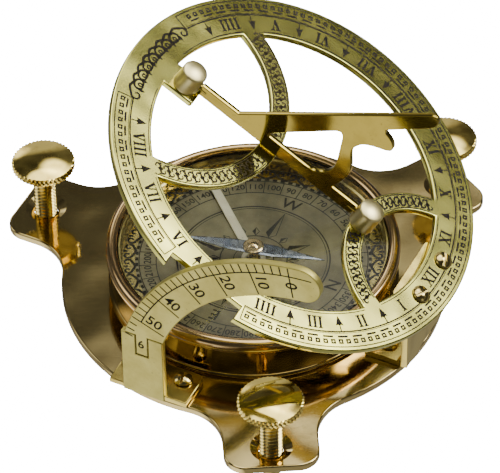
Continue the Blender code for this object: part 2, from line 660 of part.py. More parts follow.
def gnomon(material, ring_axis):
    """The style plate: x along the pivot axis from the far post, y away from the ring."""
    axis = add_axis("gnomon_axis", (POST_X[0] - RING_TO_HINGE, 0.0, RING_LIFT + GNOMON_AXIS_Z),
                    parent=ring_axis)
    start = POST_R + 0.3
    end = POST_X[1] - POST_X[0] - POST_R - 0.3
    low, high = ARM_Z
    style_foot = (16.2, high)
    tip = [(57.2, 48.2), (57.7, 50.0), (57.3, 51.6), (56.2, 52.4), (54.9, 51.9)]
    hook = [(48.6, 36.6), (49.2, 35.6), (51.6, 34.6), (53.2, 32.9), (53.3, 31.3), (52.2, 30.2),
            (49.0, 28.4), (46.8, 26.6), (45.8, 24.6), (45.5, 22.4), (46.3, 20.2), (48.2, 17.0),
            (49.1, 14.6), (49.3, 12.0), (48.9, 9.0), (48.2, high)]
    outline = [(start, low), (end, low), (end, high)] + hook[::-1] + tip + [style_foot, (start, high)]
    hole = [(26.6, high + 0.3), (25.9, 6.4), (26.6, 8.0), (38.9, 24.2), (40.1, 24.9), (41.2, 24.0),
            (44.6, 14.6), (44.9, 11.6), (43.9, 8.4), (41.6, 6.2), (38.6, high + 0.3)]
    loops = [(outline, chamfered(GNOMON_T, 0.2, -GNOMON_T / 2)),
             (hole, chamfered(GNOMON_T, 0.2, -GNOMON_T / 2))]
    mesh = plate_mesh(loops)
    bmesh.ops.translate(mesh, vec=(0.0, -GNOMON_AXIS_Z, 0.0), verts=mesh.verts)
    bmesh.ops.rotate(mesh, verts=mesh.verts, matrix=Matrix.Rotation(math.pi / 2, 3, "X"))
    piece = add_piece("gnomon", mesh, material, axis)
    join(piece, rod_mesh(TENON_R, start - TENON_L, start + 2.0, "X", steps=24))
    join(piece, rod_mesh(TENON_R, end - 2.0, end + TENON_L, "X", steps=24))


# ---------------------------------------------------------------- latitude arc

def arc_bracket(material):
    """The angle foot of the latitude arc: a leaf on the plate and a slotted upright."""
    low = PLATE_T + GAP
    back = ARC_Y - ARC_T / 2
    outline = [(FOOT_LEAF_X[0], back), (FOOT_LEAF_X[1], back), (FOOT_LEAF_X[1], FOOT_LEAF_Y),
               (FOOT_LEAF_X[0], FOOT_LEAF_Y)]
    loops = [(outline, [(low, 0.0), (low + BRACKET_T, 0.0)])]
    for x in FOOT_SCREW_X:
        hole = circle((x, FOOT_SCREW_Y), SCREW_SHANK_R + GAP, 16)[::-1]
        loops.append((hole, [(low, 0.0), (low + BRACKET_T, 0.0)]))
    piece = add_piece("arc_bracket", plate_mesh(loops), material)
    join(piece, box_mesh((FOOT_X[0], back, low + 0.5), (FOOT_X[1], back + ARC_T, FOLD_Z)))
    middle = sum(FOOT_X) / 2
    reach = TONGUE_HALF_W + GAP
    cut(piece, box_mesh((middle - reach, back - 1.0, TONGUE_END_Z - 0.6),
                        (middle + reach, back + ARC_T + 1.0, FOLD_Z + 1.0)))
    cut(piece, rod_mesh(ARC_PIN_R + RUN, FOOT_X[0] - 1.0, FOOT_X[1] + 1.0, "X", (ARC_Y, ARC_AXIS_Z),
                        steps=24))
    for number, x in enumerate(FOOT_SCREW_X, 1):
        round_screw(f"foot_screw_{number}", material, (x, FOOT_SCREW_Y, low + BRACKET_T + GAP),
                    BRACKET_T + GAP + PLATE_T, turn=50.0 * number)


def latitude_arc(material):
    """The divided band, rounded at its tip, with a tongue that turns in the foot's slot."""
    axis = add_axis("arc_axis", (0.0, ARC_Y, ARC_AXIS_Z))
    centre_x, centre_z = ARC_CENTRE
    inner, outer = ARC_R
    fold = FOLD_Z + GAP
    inner_end = 90.0 + math.degrees(math.acos((fold - centre_z) / inner))
    outer_end = 90.0 + math.degrees(math.acos((fold - centre_z) / outer))
    start = 90.0 + ARC_TIP_ANGLE
    tip_r = (outer - inner) / 2
    tip_x, tip_z = polar((outer + inner) / 2, start)
    middle = sum(FOOT_X) / 2
    half = TONGUE_HALF_W
    outline = joined(arc(ARC_CENTRE, outer, start, outer_end, 28),
                     [(middle - half, fold), (middle - half, TONGUE_END_Z),
                      (middle + half, TONGUE_END_Z), (middle + half, fold)],
                     arc(ARC_CENTRE, inner, inner_end, start, 28),
                     arc((centre_x + tip_x, centre_z + tip_z), tip_r, start - 180.0, start, 16))
    mesh = plate_mesh([(outline, chamfered(ARC_T, 0.2, -ARC_T / 2))])
    bmesh.ops.translate(mesh, vec=(0.0, -ARC_AXIS_Z, 0.0), verts=mesh.verts)
    bmesh.ops.rotate(mesh, verts=mesh.verts, matrix=Matrix.Rotation(math.pi / 2, 3, "X"))
    piece = add_piece("latitude_arc", mesh, material, axis)
    cut(piece, rod_mesh(ARC_PIN_R + RUN, middle - half - 1.0, middle + half + 1.0, "X", steps=24))


def arc_pin(material):
    start, end = FOOT_X
    add_piece("arc_pin", rod_mesh(ARC_PIN_R, start + 0.1, end - 0.1, "X", steps=24), material, None,
              (0.0, ARC_Y, ARC_AXIS_Z))


# ---------------------------------------------------------------- the whole sundial

def build():
    clear_scene()
    materials = make_materials()
    polished = materials["polished_brass"]
    yellow = materials["yellow_brass"]
    base_plate(polished)
    for number, angle in enumerate(EAR_ANGLES, 1):
        levelling_screw(number, angle, polished)
    compass(materials)
    compass_needle(materials)
    needle_lever(yellow)
    bowl_screws(polished)
    hinge_bracket(polished)
    hinge_pin(polished)
    ring_axis = add_axis("ring_axis", (HINGE_X, 0.0, HINGE_Z), (0.0, TILT, 0.0))
    ring_hinge_leaf(polished, ring_axis)
    hour_ring(yellow, ring_axis)
    for number, x in enumerate(POST_X, 1):
        gnomon_post(number, x, polished, ring_axis)
    gnomon(polished, ring_axis)
    arc_bracket(yellow)
    latitude_arc(yellow)
    arc_pin(polished)


build()
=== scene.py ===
# %% [markdown]
# # A brass garden sundial
# The sundial has three parts: a round plate on three levelling screws, a compass, and an hour ring
# that tilts on a hinge and carries a folding gnomon. A divided arc beside the ring shows the
# latitude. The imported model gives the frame, with every axis in place. This lesson builds the
# finished pieces over it, in millimetres, and scales each one to metres as its last step.

# %% Load the frame
import json
import math

import bmesh
import bpy
from mathutils import Matrix, Vector


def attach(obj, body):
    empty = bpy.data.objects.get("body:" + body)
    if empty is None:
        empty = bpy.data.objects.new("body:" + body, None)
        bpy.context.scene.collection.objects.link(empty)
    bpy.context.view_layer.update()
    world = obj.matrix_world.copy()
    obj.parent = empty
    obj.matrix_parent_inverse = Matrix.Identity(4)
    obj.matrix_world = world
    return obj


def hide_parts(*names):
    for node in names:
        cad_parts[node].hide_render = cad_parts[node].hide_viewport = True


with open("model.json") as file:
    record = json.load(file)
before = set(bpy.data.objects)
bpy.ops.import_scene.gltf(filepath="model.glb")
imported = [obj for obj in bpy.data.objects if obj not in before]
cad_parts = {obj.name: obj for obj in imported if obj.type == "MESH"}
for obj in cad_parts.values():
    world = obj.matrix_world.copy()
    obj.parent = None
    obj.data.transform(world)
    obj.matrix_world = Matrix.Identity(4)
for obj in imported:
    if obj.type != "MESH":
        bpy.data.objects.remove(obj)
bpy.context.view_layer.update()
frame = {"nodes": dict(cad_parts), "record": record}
MM = 0.001
JOINTS = {joint["name"]: joint for joint in frame["record"]["behaviour"]["joints"]}

# %% [markdown]
# ## Places taken from the frame
# Each moving group is drawn flat, in its own plane, and then carried to its place by one matrix. The
# ring's matrix starts at the hinge axis that the frame gives and tips the ring's plane by its rest
# angle. The gnomon's plane stands on the ring, and the latitude arc's plane is upright.

# %% Matrices of the three tilted planes
RING_TO_HINGE = 48.8
RING_LIFT = 4.2
hinge = [value / MM for value in JOINTS["ring_tilt"]["pos_m"]]
fold_axis = JOINTS["gnomon_fold"]["axis"]
tilt = math.atan2(-fold_axis[2], fold_axis[0])
FLAT = Matrix.Identity(4)
UPRIGHT = Matrix.Rotation(math.pi / 2, 4, "X")
HINGE_FRAME = Matrix.Translation(hinge) @ Matrix.Rotation(tilt, 4, "Y")
RING = HINGE_FRAME @ Matrix.Translation((-RING_TO_HINGE, 0, RING_LIFT))
POST_X = (-38.0, 22.8)
GNOMON = RING @ Matrix.Translation((POST_X[0], 0, 0)) @ UPRIGHT
ARC_Y = JOINTS["arc_fold"]["pos_m"][1] / MM
LATITUDE = Matrix.Translation((0, ARC_Y, 0)) @ UPRIGHT
needle_place = [value / MM for value in JOINTS["needle_swing"]["pos_m"]]
print("ring tilt:", round(math.degrees(tilt), 1), "degrees, hinge at", [round(v, 1) for v in hinge])

# %% [markdown]
# ## Outlines
# Every flat piece is an outline of straight runs and arcs. Two circles that cross give the corners
# of the ring's windows, so the crossing angle is worked out once, with the cosine rule.

# %% Arcs, circles and joined outlines
def arc(centre, radius, start, end, steps):
    turn = [math.radians(start + (end - start) * i / steps) for i in range(steps + 1)]
    return [(centre[0] + radius * math.cos(a), centre[1] + radius * math.sin(a)) for a in turn]


def circle(centre, radius, steps=64):
    return arc(centre, radius, 0, 360, steps)[:-1]


def joined(*runs):
    points = []
    for point in [point for run in runs for point in run]:
        if not points or math.dist(point, points[-1]) > 1e-4:
            points.append(point)
    if math.dist(points[0], points[-1]) < 1e-4:
        points.pop()
    return points


def polar(radius, degrees):
    return (radius * math.cos(math.radians(degrees)), radius * math.sin(math.radians(degrees)))


def turned_about(points, degrees):
    spin = Matrix.Rotation(math.radians(degrees), 2)
    return [tuple(spin @ Vector(point)) for point in points]


def crossing(radius, other_x, other_radius):
    x = (radius ** 2 + other_x ** 2 - other_radius ** 2) / (2 * other_x)
    own = math.acos(x / radius)
    other = math.atan2(radius * math.sin(own), x - other_x)
    return math.degrees(own), math.degrees(other)


print("circles of 43 and 25 mm cross at", round(crossing(43, 45, 25)[0], 1), "degrees")

# %% [markdown]
# ## Plates with rounded edges
# A sawn and polished plate is flat with softly rounded edges. The outline and its holes are filled,
# the fill is extruded, and both faces are then inset in a few steps that follow a quarter circle.
# An inset keeps the edge even around every window, where a bevel would stumble over the fill.

# %% Plates, turned pieces and boxes
def plate(outlines, low, high, edge=0.3, steps=3):
    mesh = bmesh.new()
    for outline in outlines:
        corners = [mesh.verts.new((x, y, low + edge)) for x, y in outline]
        for a, b in zip(corners, corners[1:] + corners[:1]):
            mesh.edges.new((a, b))
    bmesh.ops.triangle_fill(mesh, use_beauty=True, edges=mesh.edges[:], normal=(0, 0, 1))
    grown = bmesh.ops.extrude_face_region(mesh, geom=mesh.faces[:])["geom"]
    top = [item for item in grown if isinstance(item, bmesh.types.BMVert)]
    bmesh.ops.translate(mesh, verts=top, vec=(0, 0, high - low - 2 * edge))
    bmesh.ops.recalc_face_normals(mesh, faces=mesh.faces[:])
    for step in range(steps if edge else 0):
        here = math.radians(90 * step / steps)
        there = math.radians(90 * (step + 1) / steps)
        faces = [face for face in mesh.faces if abs(face.normal.z) > 0.999]
        bmesh.ops.inset_region(mesh, faces=faces, use_boundary=True, use_even_offset=True,
                               thickness=edge * (math.cos(here) - math.cos(there)),
                               depth=edge * (math.sin(there) - math.sin(here)))
    return mesh


def turned(profile, steps=96):
    mesh = bmesh.new()
    corners = [mesh.verts.new((radius, 0, height)) for radius, height in profile]
    edges = [mesh.edges.new((a, b)) for a, b in zip(corners, corners[1:] + corners[:1])
             if a.co.x > 0 or b.co.x > 0]
    bmesh.ops.spin(mesh, geom=corners + edges, cent=(0, 0, 0), axis=(0, 0, 1),
                   angle=2 * math.pi, steps=steps, use_merge=True)
    bmesh.ops.remove_doubles(mesh, verts=mesh.verts[:], dist=1e-4)
    bmesh.ops.recalc_face_normals(mesh, faces=mesh.faces[:])
    return mesh


def dome_run(radius, low, high, steps):
    """Profile of a shallow dome, from its rim up to the axis."""
    rise = high - low
    ball = (radius ** 2 + rise ** 2) / (2 * rise)
    reach = math.degrees(math.asin(radius / ball))
    run = arc((0, high - ball), ball, 90 - reach, 90, steps)
    return run[:-1] + [(0, high)]


def block(low, high, edge=0.15):
    mesh = bmesh.new()
    bmesh.ops.create_cube(mesh, size=1)
    bmesh.ops.scale(mesh, verts=mesh.verts[:], vec=[b - a for a, b in zip(low, high)])
    bmesh.ops.translate(mesh, verts=mesh.verts[:], vec=[(a + b) / 2 for a, b in zip(low, high)])
    bmesh.ops.bevel(mesh, geom=mesh.edges[:], offset=edge, offset_type="OFFSET", affect="EDGES",
                    segments=2, profile=0.5, material=-1)
    return mesh


# %% [markdown]
# ## From drawing to piece
# A mesh is drawn in millimetres in its own plane. Its last step scales it to metres and carries it
# to its place, so the object itself stays at the origin. Smooth shading would tilt the reflection on
# a flat face beside a rounded edge, so the border of every flat face is marked sharp. Slots and
# bores are cut afterwards with a Boolean.

# %% Scale a piece to metres, place it, paint it and let it ride
def piece(mesh, name, body, material, place=FLAT, stands_for=(), sharp=32):
    bmesh.ops.transform(mesh, matrix=Matrix.Scale(MM, 4) @ place, verts=mesh.verts[:])
    data = bpy.data.meshes.new(name)
    mesh.to_mesh(data)
    mesh.free()
    data.materials.append(material)
    soften(data, place, sharp)
    made = bpy.data.objects.new(name, data)
    bpy.context.scene.collection.objects.link(made)
    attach(made, body)
    if stands_for:
        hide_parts(*stands_for)
    return made


def soften(data, place, sharp=32):
    """Shades smoothly, but keeps faces that lie flat in the piece's own plane truly flat."""
    flat = (place.to_3x3() @ Vector((0, 0, 1))).normalized()
    mesh = bmesh.new()
    mesh.from_mesh(data)
    mesh.normal_update()
    for face in mesh.faces:
        face.smooth = True
    for edge in mesh.edges:
        level = {abs(face.normal.dot(flat)) > 0.9999 for face in edge.link_faces}
        meets = len(edge.link_faces) == 2 and len(level) == 1
        edge.smooth = meets and edge.calc_face_angle() < math.radians(sharp)
    mesh.to_mesh(data)
    mesh.free()


def carve(made, mesh, place=FLAT, flat=FLAT):
    """Cuts a tool solid out of a finished piece and keeps the result as plain mesh."""
    bmesh.ops.transform(mesh, matrix=Matrix.Scale(MM, 4) @ place, verts=mesh.verts[:])
    data = bpy.data.meshes.new("tool")
    mesh.to_mesh(data)
    mesh.free()
    tool = bpy.data.objects.new("tool", data)
    bpy.context.scene.collection.objects.link(tool)
    change = made.modifiers.new("carve", "BOOLEAN")
    change.operation = "DIFFERENCE"
    change.solver = "EXACT"
    change.object = tool
    bpy.context.view_layer.update()
    ready = made.evaluated_get(bpy.context.evaluated_depsgraph_get())
    carved = bpy.data.meshes.new_from_object(ready)
    made.modifiers.clear()
    made.data = carved
    soften(carved, flat)
    bpy.data.objects.remove(tool, do_unlink=True)


# %% [markdown]
# ## Shader maths
# Metal is mostly reflection, so its finish lives in small changes of roughness, tint and slope. One
# class wraps a socket and lets Python's own operators add the Math nodes. A second class adds every
# other node to a tree, and a third is a material with such a tree. Constants are worked out in
# Python and set straight on the shader's sockets.

# %% Sockets that do arithmetic, and the material that holds them
class Wire:
    def __init__(self, nodes, socket):
        self.nodes = nodes
        self.socket = socket

    def math(self, operation, *values):
        inputs = dict(enumerate(values))
        return self.nodes.node("ShaderNodeMath", {"operation": operation}, inputs)

    def __add__(self, other):
        return self.math("ADD", self, other)

    def __mul__(self, other):
        return self.math("MULTIPLY", self, other)

    def __pow__(self, other):
        return self.math("POWER", self, other)

    def between(self, low, high):
        """0 below low, 1 above high and a straight rise in between."""
        inputs = {"Value": self, "From Min": low, "From Max": high}
        return self.nodes.node("ShaderNodeMapRange", {"clamp": True}, inputs)

    __radd__ = __add__
    __rmul__ = __mul__


class Nodes:
    def __init__(self, tree):
        self.tree = tree

    def node(self, kind, settings=None, inputs=None, output=0):
        made = self.tree.nodes.new(kind)
        for key, value in (settings or {}).items():
            if key == "stops":
                self.stops(made.color_ramp, value)
            else:
                setattr(made, key, value)
        for key, value in (inputs or {}).items():
            self.plug(made.inputs[key], value)
        return Wire(self, made.outputs[output])

    def stops(self, ramp, values):
        while len(ramp.elements) < len(values):
            ramp.elements.new(1.0)
        for element, (position, colour) in zip(ramp.elements, values):
            element.position = position
            element.color = (*colour, 1.0)

    def plug(self, socket, value):
        if isinstance(value, Wire):
            self.tree.links.new(value.socket, socket)
        else:
            socket.default_value = value

    def place(self, scale=(1, 1, 1), turn=(0, 0, 0), shift=(0, 0, 0)):
        """Object coordinates in metres, moved, turned and scaled for a pattern."""
        here = self.node("ShaderNodeTexCoord", output=3)
        return self.node("ShaderNodeMapping", {"vector_type": "TEXTURE"},
                         {"Vector": here, "Location": shift, "Rotation": turn, "Scale": scale})

    def noise(self, size, detail=3.0, where=None, rough=0.5):
        """Cloudy noise whose blobs are about size millimetres across."""
        return self.node("ShaderNodeTexNoise", {"noise_dimensions": "3D"},
                         {"Vector": where or self.place(), "Scale": 1 / (size * MM),
                          "Detail": detail, "Roughness": rough})

    def blend(self, share, low, high):
        """A colour between two colours, as a Mix node."""
        made = self.tree.nodes.new("ShaderNodeMix")
        made.data_type = "RGBA"
        colours = [socket for socket in made.inputs if socket.type == "RGBA"]
        self.plug(made.inputs[0], share)
        for socket, value in zip(colours, (low, high)):
            self.plug(socket, value if isinstance(value, Wire) else (*value, 1.0))
        return Wire(self, [socket for socket in made.outputs if socket.type == "RGBA"][0])

    def bump(self, height, depth, below=None):
        """Slope from a height of 0 to 1 that stands for depth millimetres."""
        inputs = {"Strength": 1.0, "Distance": depth * MM, "Height": height}
        if below:
            inputs["Normal"] = below
        return self.node("ShaderNodeBump", None, inputs)


class Finish(Nodes):
    def __init__(self, name, roughness=0.3, metallic=0.0):
        self.material = bpy.data.materials.new(name)
        self.material.use_nodes = True
        super().__init__(self.material.node_tree)
        self.shader = self.tree.nodes["Principled BSDF"]
        self.shader.inputs["Roughness"].default_value = roughness
        self.shader.inputs["Metallic"].default_value = metallic

    def set(self, **values):
        for name, value in values.items():
            self.plug(self.shader.inputs[name.replace("_", " ")], value)
        return self.material


print("helpers for the finishes are ready")

# %% [markdown]
# ## Polished brass
# Cast brass is buffed on a wheel. That leaves a bright metal with three marks of its making: a slow
# waviness that bends the reflections, long fine scratches that run one way, and a warm tarnish that
# stays in blotches where fingers do not rub. Each mark has its own noise. The waviness is a bump
# with long swells and a small fraction of their length in depth, which makes a mirror look cast.

# %% One recipe for every brass finish
def brass(name, clean, dull, roughness, wave=0.006, wave_size=16.0, scratch_turn=0.5,
          scratch=0.0006, tarnish=0.55, spots=0.35):
    metal = Finish(name, metallic=1.0)
    clouds = metal.noise(9.0, 4.0, rough=0.6)
    grime = metal.noise(1.6, 5.0, rough=0.65)
    along = metal.place(scale=(14, 1, 1), turn=(0, 0, scratch_turn))
    hairs = metal.noise(0.25, 2.0, where=along)
    blotch = clouds.between(0.46, 0.72) * tarnish
    fleck = grime.between(0.62, 0.74) * spots
    tint = metal.blend(blotch, clean, dull)
    dark = tuple(channel * 0.45 for channel in dull)
    tint = metal.blend(fleck, tint, dark)
    slow = metal.bump(metal.noise(wave_size, 1.0), wave * wave_size)
    fine = metal.bump(hairs, scratch, below=slow)
    shine = blotch * 0.05 + fleck * 0.12 + hairs.between(0.5, 0.8) * 0.03 + roughness
    return metal.set(Base_Color=tint, Roughness=shine, Normal=fine)


PLATE_BRASS = brass("plate_brass", (0.76, 0.60, 0.25), (0.40, 0.28, 0.10), 0.07, wave=0.013,
                    wave_size=24.0)
RING_BRASS = brass("ring_brass", (0.79, 0.75, 0.21), (0.50, 0.46, 0.11), 0.09, wave=0.008,
                   wave_size=16.0, scratch_turn=0.2, tarnish=0.5)
# The gnomon's brass is a much darker copy of the same polished brass: painted shade that darkens the
# whole gnomon.
SHADED_GNOMON_BRASS = brass("shaded_gnomon_brass", (0.42, 0.32, 0.06), (0.25, 0.18, 0.03), 0.08, wave=0.015,
                     wave_size=12.0, tarnish=0.4)
POST_BRASS = brass("post_brass", (0.96, 0.84, 0.42), (0.78, 0.64, 0.26), 0.34, wave_size=5.0)
BOWL_BRASS = brass("bowl_brass", (0.36, 0.26, 0.09), (0.14, 0.10, 0.035), 0.07, wave=0.006,
                   wave_size=12.0, scratch_turn=0.0)
BEZEL_BRASS = brass("bezel_copper", (0.66, 0.46, 0.22), (0.36, 0.24, 0.10), 0.15, wave_size=10.0)
SEAT_BRASS = brass("seat_brass", (0.66, 0.54, 0.20), (0.34, 0.26, 0.08), 0.24)
LEVER_BRASS = brass("lever_brass", (0.92, 0.86, 0.62), (0.66, 0.56, 0.30), 0.36)
SCREW_BRASS = brass("screw_brass", (0.82, 0.66, 0.24), (0.42, 0.31, 0.09), 0.13, wave_size=3.0)
BRACKET_BRASS = brass("bracket_brass", (0.76, 0.60, 0.17), (0.44, 0.32, 0.07), 0.15,
                      wave=0.012, wave_size=9.0)
print("brass finishes:", len([m for m in bpy.data.materials if m.name.endswith("brass")]))

# %% [markdown]
# ## Turned knobs
# A knob's top is finished on the lathe, so its scratches are circles about its own axis. The
# distance from the axis drives a fine noise, which gives rings that catch the light as a streak.
# Each knob stands in a different place, so each one gets the recipe with its own centre.

# %% Brass with lathe marks about one axis
def lathe_brass(name, centre, clean, dull, roughness, depth=0.004):
    metal = Finish(name, metallic=1.0)
    here = metal.place(shift=(centre[0] * MM, centre[1] * MM, 0.0))
    x = metal.node("ShaderNodeSeparateXYZ", None, {"Vector": here})
    y = Wire(metal, x.socket.node.outputs[1])
    distance = (x * x + y * y) ** 0.5
    rings = metal.node("ShaderNodeTexNoise", {"noise_dimensions": "1D"},
                       {"W": distance, "Scale": 1 / (0.32 * MM), "Detail": 3.0})
    stain = metal.noise(3.2, 4.0, rough=0.62).between(0.48, 0.70)
    tint = metal.blend(stain * 0.6, clean, dull)
    slow = metal.bump(metal.noise(7.0, 1.0), 0.08)
    fine = metal.bump(rings, depth, below=slow)
    shine = stain * 0.04 + rings.between(0.4, 0.7) * 0.03 + roughness
    return metal.set(Base_Color=tint, Roughness=shine, Normal=fine)


EAR_PITCH = 66.0
EAR_ANGLES = (180.0, 60.0, -60.0)
KNOB_FINISHES = [lathe_brass(f"knob_brass_{number}", polar(EAR_PITCH, angle),
                             (0.92, 0.72, 0.20), (0.56, 0.38, 0.09), 0.06, 0.0004)
                 for number, angle in enumerate(EAR_ANGLES, 1)]
CAP_FINISH = lathe_brass("cap_brass", (0.0, 0.0), (0.85, 0.66, 0.34), (0.5, 0.36, 0.16), 0.2)
print("lathe finishes for", len(KNOB_FINISHES), "knobs and the needle's cap")

# %% [markdown]
# ## Matt brass, silvered dial, black fill, blued steel and glass
# The latitude arc is brushed and lacquered, so it is duller than the ring and shows its grain. The
# dial is a silvered and greyed plate. Engraved lines are filled with black wax that has shrunk a
# little, so it is uneven. The needle is heated until it turns blue-grey. The cover is plain glass.

# %% Finishes that are not polished brass
def lacquered_brass():
    metal = Finish("arc_brass", metallic=0.9)
    grain = metal.noise(0.3, 4.0, where=metal.place(scale=(9, 9, 1)))
    clouds = metal.noise(7.0, 5.0, rough=0.6)
    specks = metal.noise(0.7, 3.0).between(0.66, 0.72)
    tint = metal.blend(clouds.between(0.35, 0.7), (0.74, 0.66, 0.21), (0.58, 0.50, 0.13))
    tint = metal.blend(specks * 0.5, tint, (0.25, 0.19, 0.06))
    rough = grain * 0.12 + clouds * 0.10 + 0.36
    return metal.set(Base_Color=tint, Roughness=rough, Normal=metal.bump(grain, 0.004))


def silvered():
    metal = Finish("dial_silver", metallic=0.6)
    clouds = metal.noise(11.0, 5.0, rough=0.62)
    grain = metal.noise(0.5, 3.0)
    tint = metal.blend(clouds.between(0.35, 0.68), (0.36, 0.32, 0.18), (0.19, 0.165, 0.09))
    rough = clouds * 0.14 + grain * 0.08 + 0.36
    return metal.set(Base_Color=tint, Roughness=rough, Normal=metal.bump(grain, 0.002))


def fill(name, colour, worn):
    wax = Finish(name)
    grain = wax.noise(0.35, 4.0)
    tint = wax.blend(grain.between(0.42, 0.7), colour, worn)
    wax.set(Specular_IOR_Level=0.15)
    return wax.set(Base_Color=tint, Roughness=grain * 0.3 + 0.5, Normal=wax.bump(grain, 0.01))


def blued():
    metal = Finish("blued_steel", metallic=1.0)
    clouds = metal.noise(3.0, 4.0)
    tint = metal.blend(clouds.between(0.38, 0.66), (0.26, 0.30, 0.38), (0.42, 0.44, 0.46))
    return metal.set(Base_Color=tint, Roughness=clouds * 0.2 + 0.16,
                     Normal=metal.bump(metal.noise(0.3), 0.002))


def glass():
    clear = Finish("clear_glass", roughness=0.015)
    smears = clear.noise(12.0, 5.0, where=clear.place(scale=(3, 1, 1), turn=(0, 0, 0.8)))
    haze = smears.between(0.45, 0.8)
    clear.set(IOR=1.46, Transmission_Weight=1.0, Roughness=haze * 0.03 + 0.01)
    return clear.set(Base_Color=clear.blend(haze, (0.97, 0.99, 0.98), (0.92, 0.95, 0.94)))


ARC_BRASS = lacquered_brass()
DIAL_SILVER = silvered()
BLACK_FILL = fill("black_fill", (0.012, 0.011, 0.008), (0.07, 0.055, 0.025))
BROWN_FILL = fill("scroll_fill", (0.030, 0.024, 0.012), (0.14, 0.11, 0.04))
DIAL_INK = fill("dial_ink", (0.03, 0.027, 0.018), (0.09, 0.08, 0.05))
BLUED_STEEL = blued()
CLEAR_GLASS = glass()
print("finishes in all:", len(bpy.data.materials))

# %% [markdown]
# ## Drawing engraved marks
# Engraved lines are filled with wax, so each one is a thin solid that stands a hair above the
# metal. A drawing collects flat faces: bars, curved strokes, numerals and digits. At the end one
# extrusion gives all of them their thickness, which keeps a ring of hundreds of marks light.

# %% A drawing that becomes a thin solid
class Drawing:
    def __init__(self):
        self.mesh = bmesh.new()

    def shape(self, points, matrix=FLAT):
        corners = [self.mesh.verts.new(matrix @ Vector((x, y, 0.0))) for x, y in points]
        self.mesh.faces.new(corners)

    def stroke(self, points, width, matrix=FLAT):
        """A path of even width. A tuple of two widths tapers from the first to the second."""
        first, last = width if isinstance(width, tuple) else (width, width)
        left, right = [], []
        for i, point in enumerate(points):
            ahead = Vector(points[min(i + 1, len(points) - 1)])
            behind = Vector(points[max(i - 1, 0)])
            side = (ahead - behind).orthogonal().normalized()
            half = (first + (last - first) * i / (len(points) - 1)) / 2
            left.append(tuple(Vector(point) + side * half))
            right.append(tuple(Vector(point) - side * half))
        self.shape(left + right[::-1], matrix)

    def ring_line(self, centre, radius, start, end, width, steps=48):
        """A line along a circle, in two runs so that a full turn stays two plain shapes."""
        middle = (start + end) / 2
        for a, b in ((start, middle), (middle, end)):
            self.stroke(arc(centre, radius, a, b, steps), width)

    def text(self, words, size, matrix):
        letters = bpy.data.curves.new("letters", "FONT")
        letters.body = words
        letters.size = size
        letters.offset = 0.012 * size
        letters.resolution_u = 3
        letters.align_x = "CENTER"
        letters.align_y = "CENTER"
        letters.fill_mode = "FRONT"
        holder = bpy.data.objects.new("letters", letters)
        flat = holder.to_mesh()
        flat.transform(matrix)
        self.mesh.from_mesh(flat)
        holder.to_mesh_clear()
        bpy.data.objects.remove(holder)

    def solid(self, low, high):
        bmesh.ops.remove_doubles(self.mesh, verts=self.mesh.verts[:], dist=1e-5)
        for vertex in self.mesh.verts:
            vertex.co.z = low
        grown = bmesh.ops.extrude_face_region(self.mesh, geom=self.mesh.faces[:])["geom"]
        top = [item for item in grown if isinstance(item, bmesh.types.BMVert)]
        bmesh.ops.translate(self.mesh, verts=top, vec=(0, 0, high - low))
        bmesh.ops.recalc_face_normals(self.mesh, faces=self.mesh.faces[:])
        return self.mesh


def at_angle(radius, degrees, turn=0.0):
    """Matrix that carries a mark from the origin to a place on a circle and turns it."""
    x, y = polar(radius, degrees)
    return Matrix.Translation((x, y, 0)) @ Matrix.Rotation(math.radians(turn), 4, "Z")


print("marks are drawn flat and thickened once")

# %% [markdown]
# ## Base plate
# The plate is one casting: a disc whose three ears reach out to the levelling screws. Hollow fillets
# lead into each ear, so the outline alternates ear runs with arcs of the disc. Each ear's hole has a
# wide countersunk mouth, which is cut with a turned cone.

# %% Outline of the plate with its ears
PLATE_R = 54.0
PLATE_T = 2.4
EAR_TIP_R = 73.4
EAR_HALF_W = 13.0
EAR_CORNER_R = 6.0
EAR_FILLET_R = 14.0
STEM_R = 3.3
STEM_HOLE_R = STEM_R + 0.06
SINK_R = 5.8
SINK_H = 1.0
SCREW_HOLE_R = 1.45
FOOT_SCREWS = [(-14.7, -46.6), (1.3, -46.6)]
BRACKET_SCREW_INSET = 6.6
BRACKET_SCREW_Y = 10.0


def ear_run():
    across = EAR_HALF_W + EAR_FILLET_R
    along = math.sqrt((PLATE_R + EAR_FILLET_R) ** 2 - across ** 2)
    spread = math.degrees(math.atan2(across, along))
    corner = (EAR_TIP_R - EAR_CORNER_R, EAR_HALF_W - EAR_CORNER_R)
    run = arc((along, -across), EAR_FILLET_R, 180 - spread, 90, 18)
    run += arc((corner[0], -corner[1]), EAR_CORNER_R, -90, 0, 12)
    run += arc(corner, EAR_CORNER_R, 0, 90, 12)
    run += arc((along, across), EAR_FILLET_R, 270, 180 + spread, 18)
    return run, spread


def plate_outline():
    run, spread = ear_run()
    runs = []
    for angle in (-60, 60, 180):
        runs.append(turned_about(run, angle))
        runs.append(arc((0, 0), PLATE_R, angle + spread, angle + 120 - spread, 44))
    return joined(*runs)


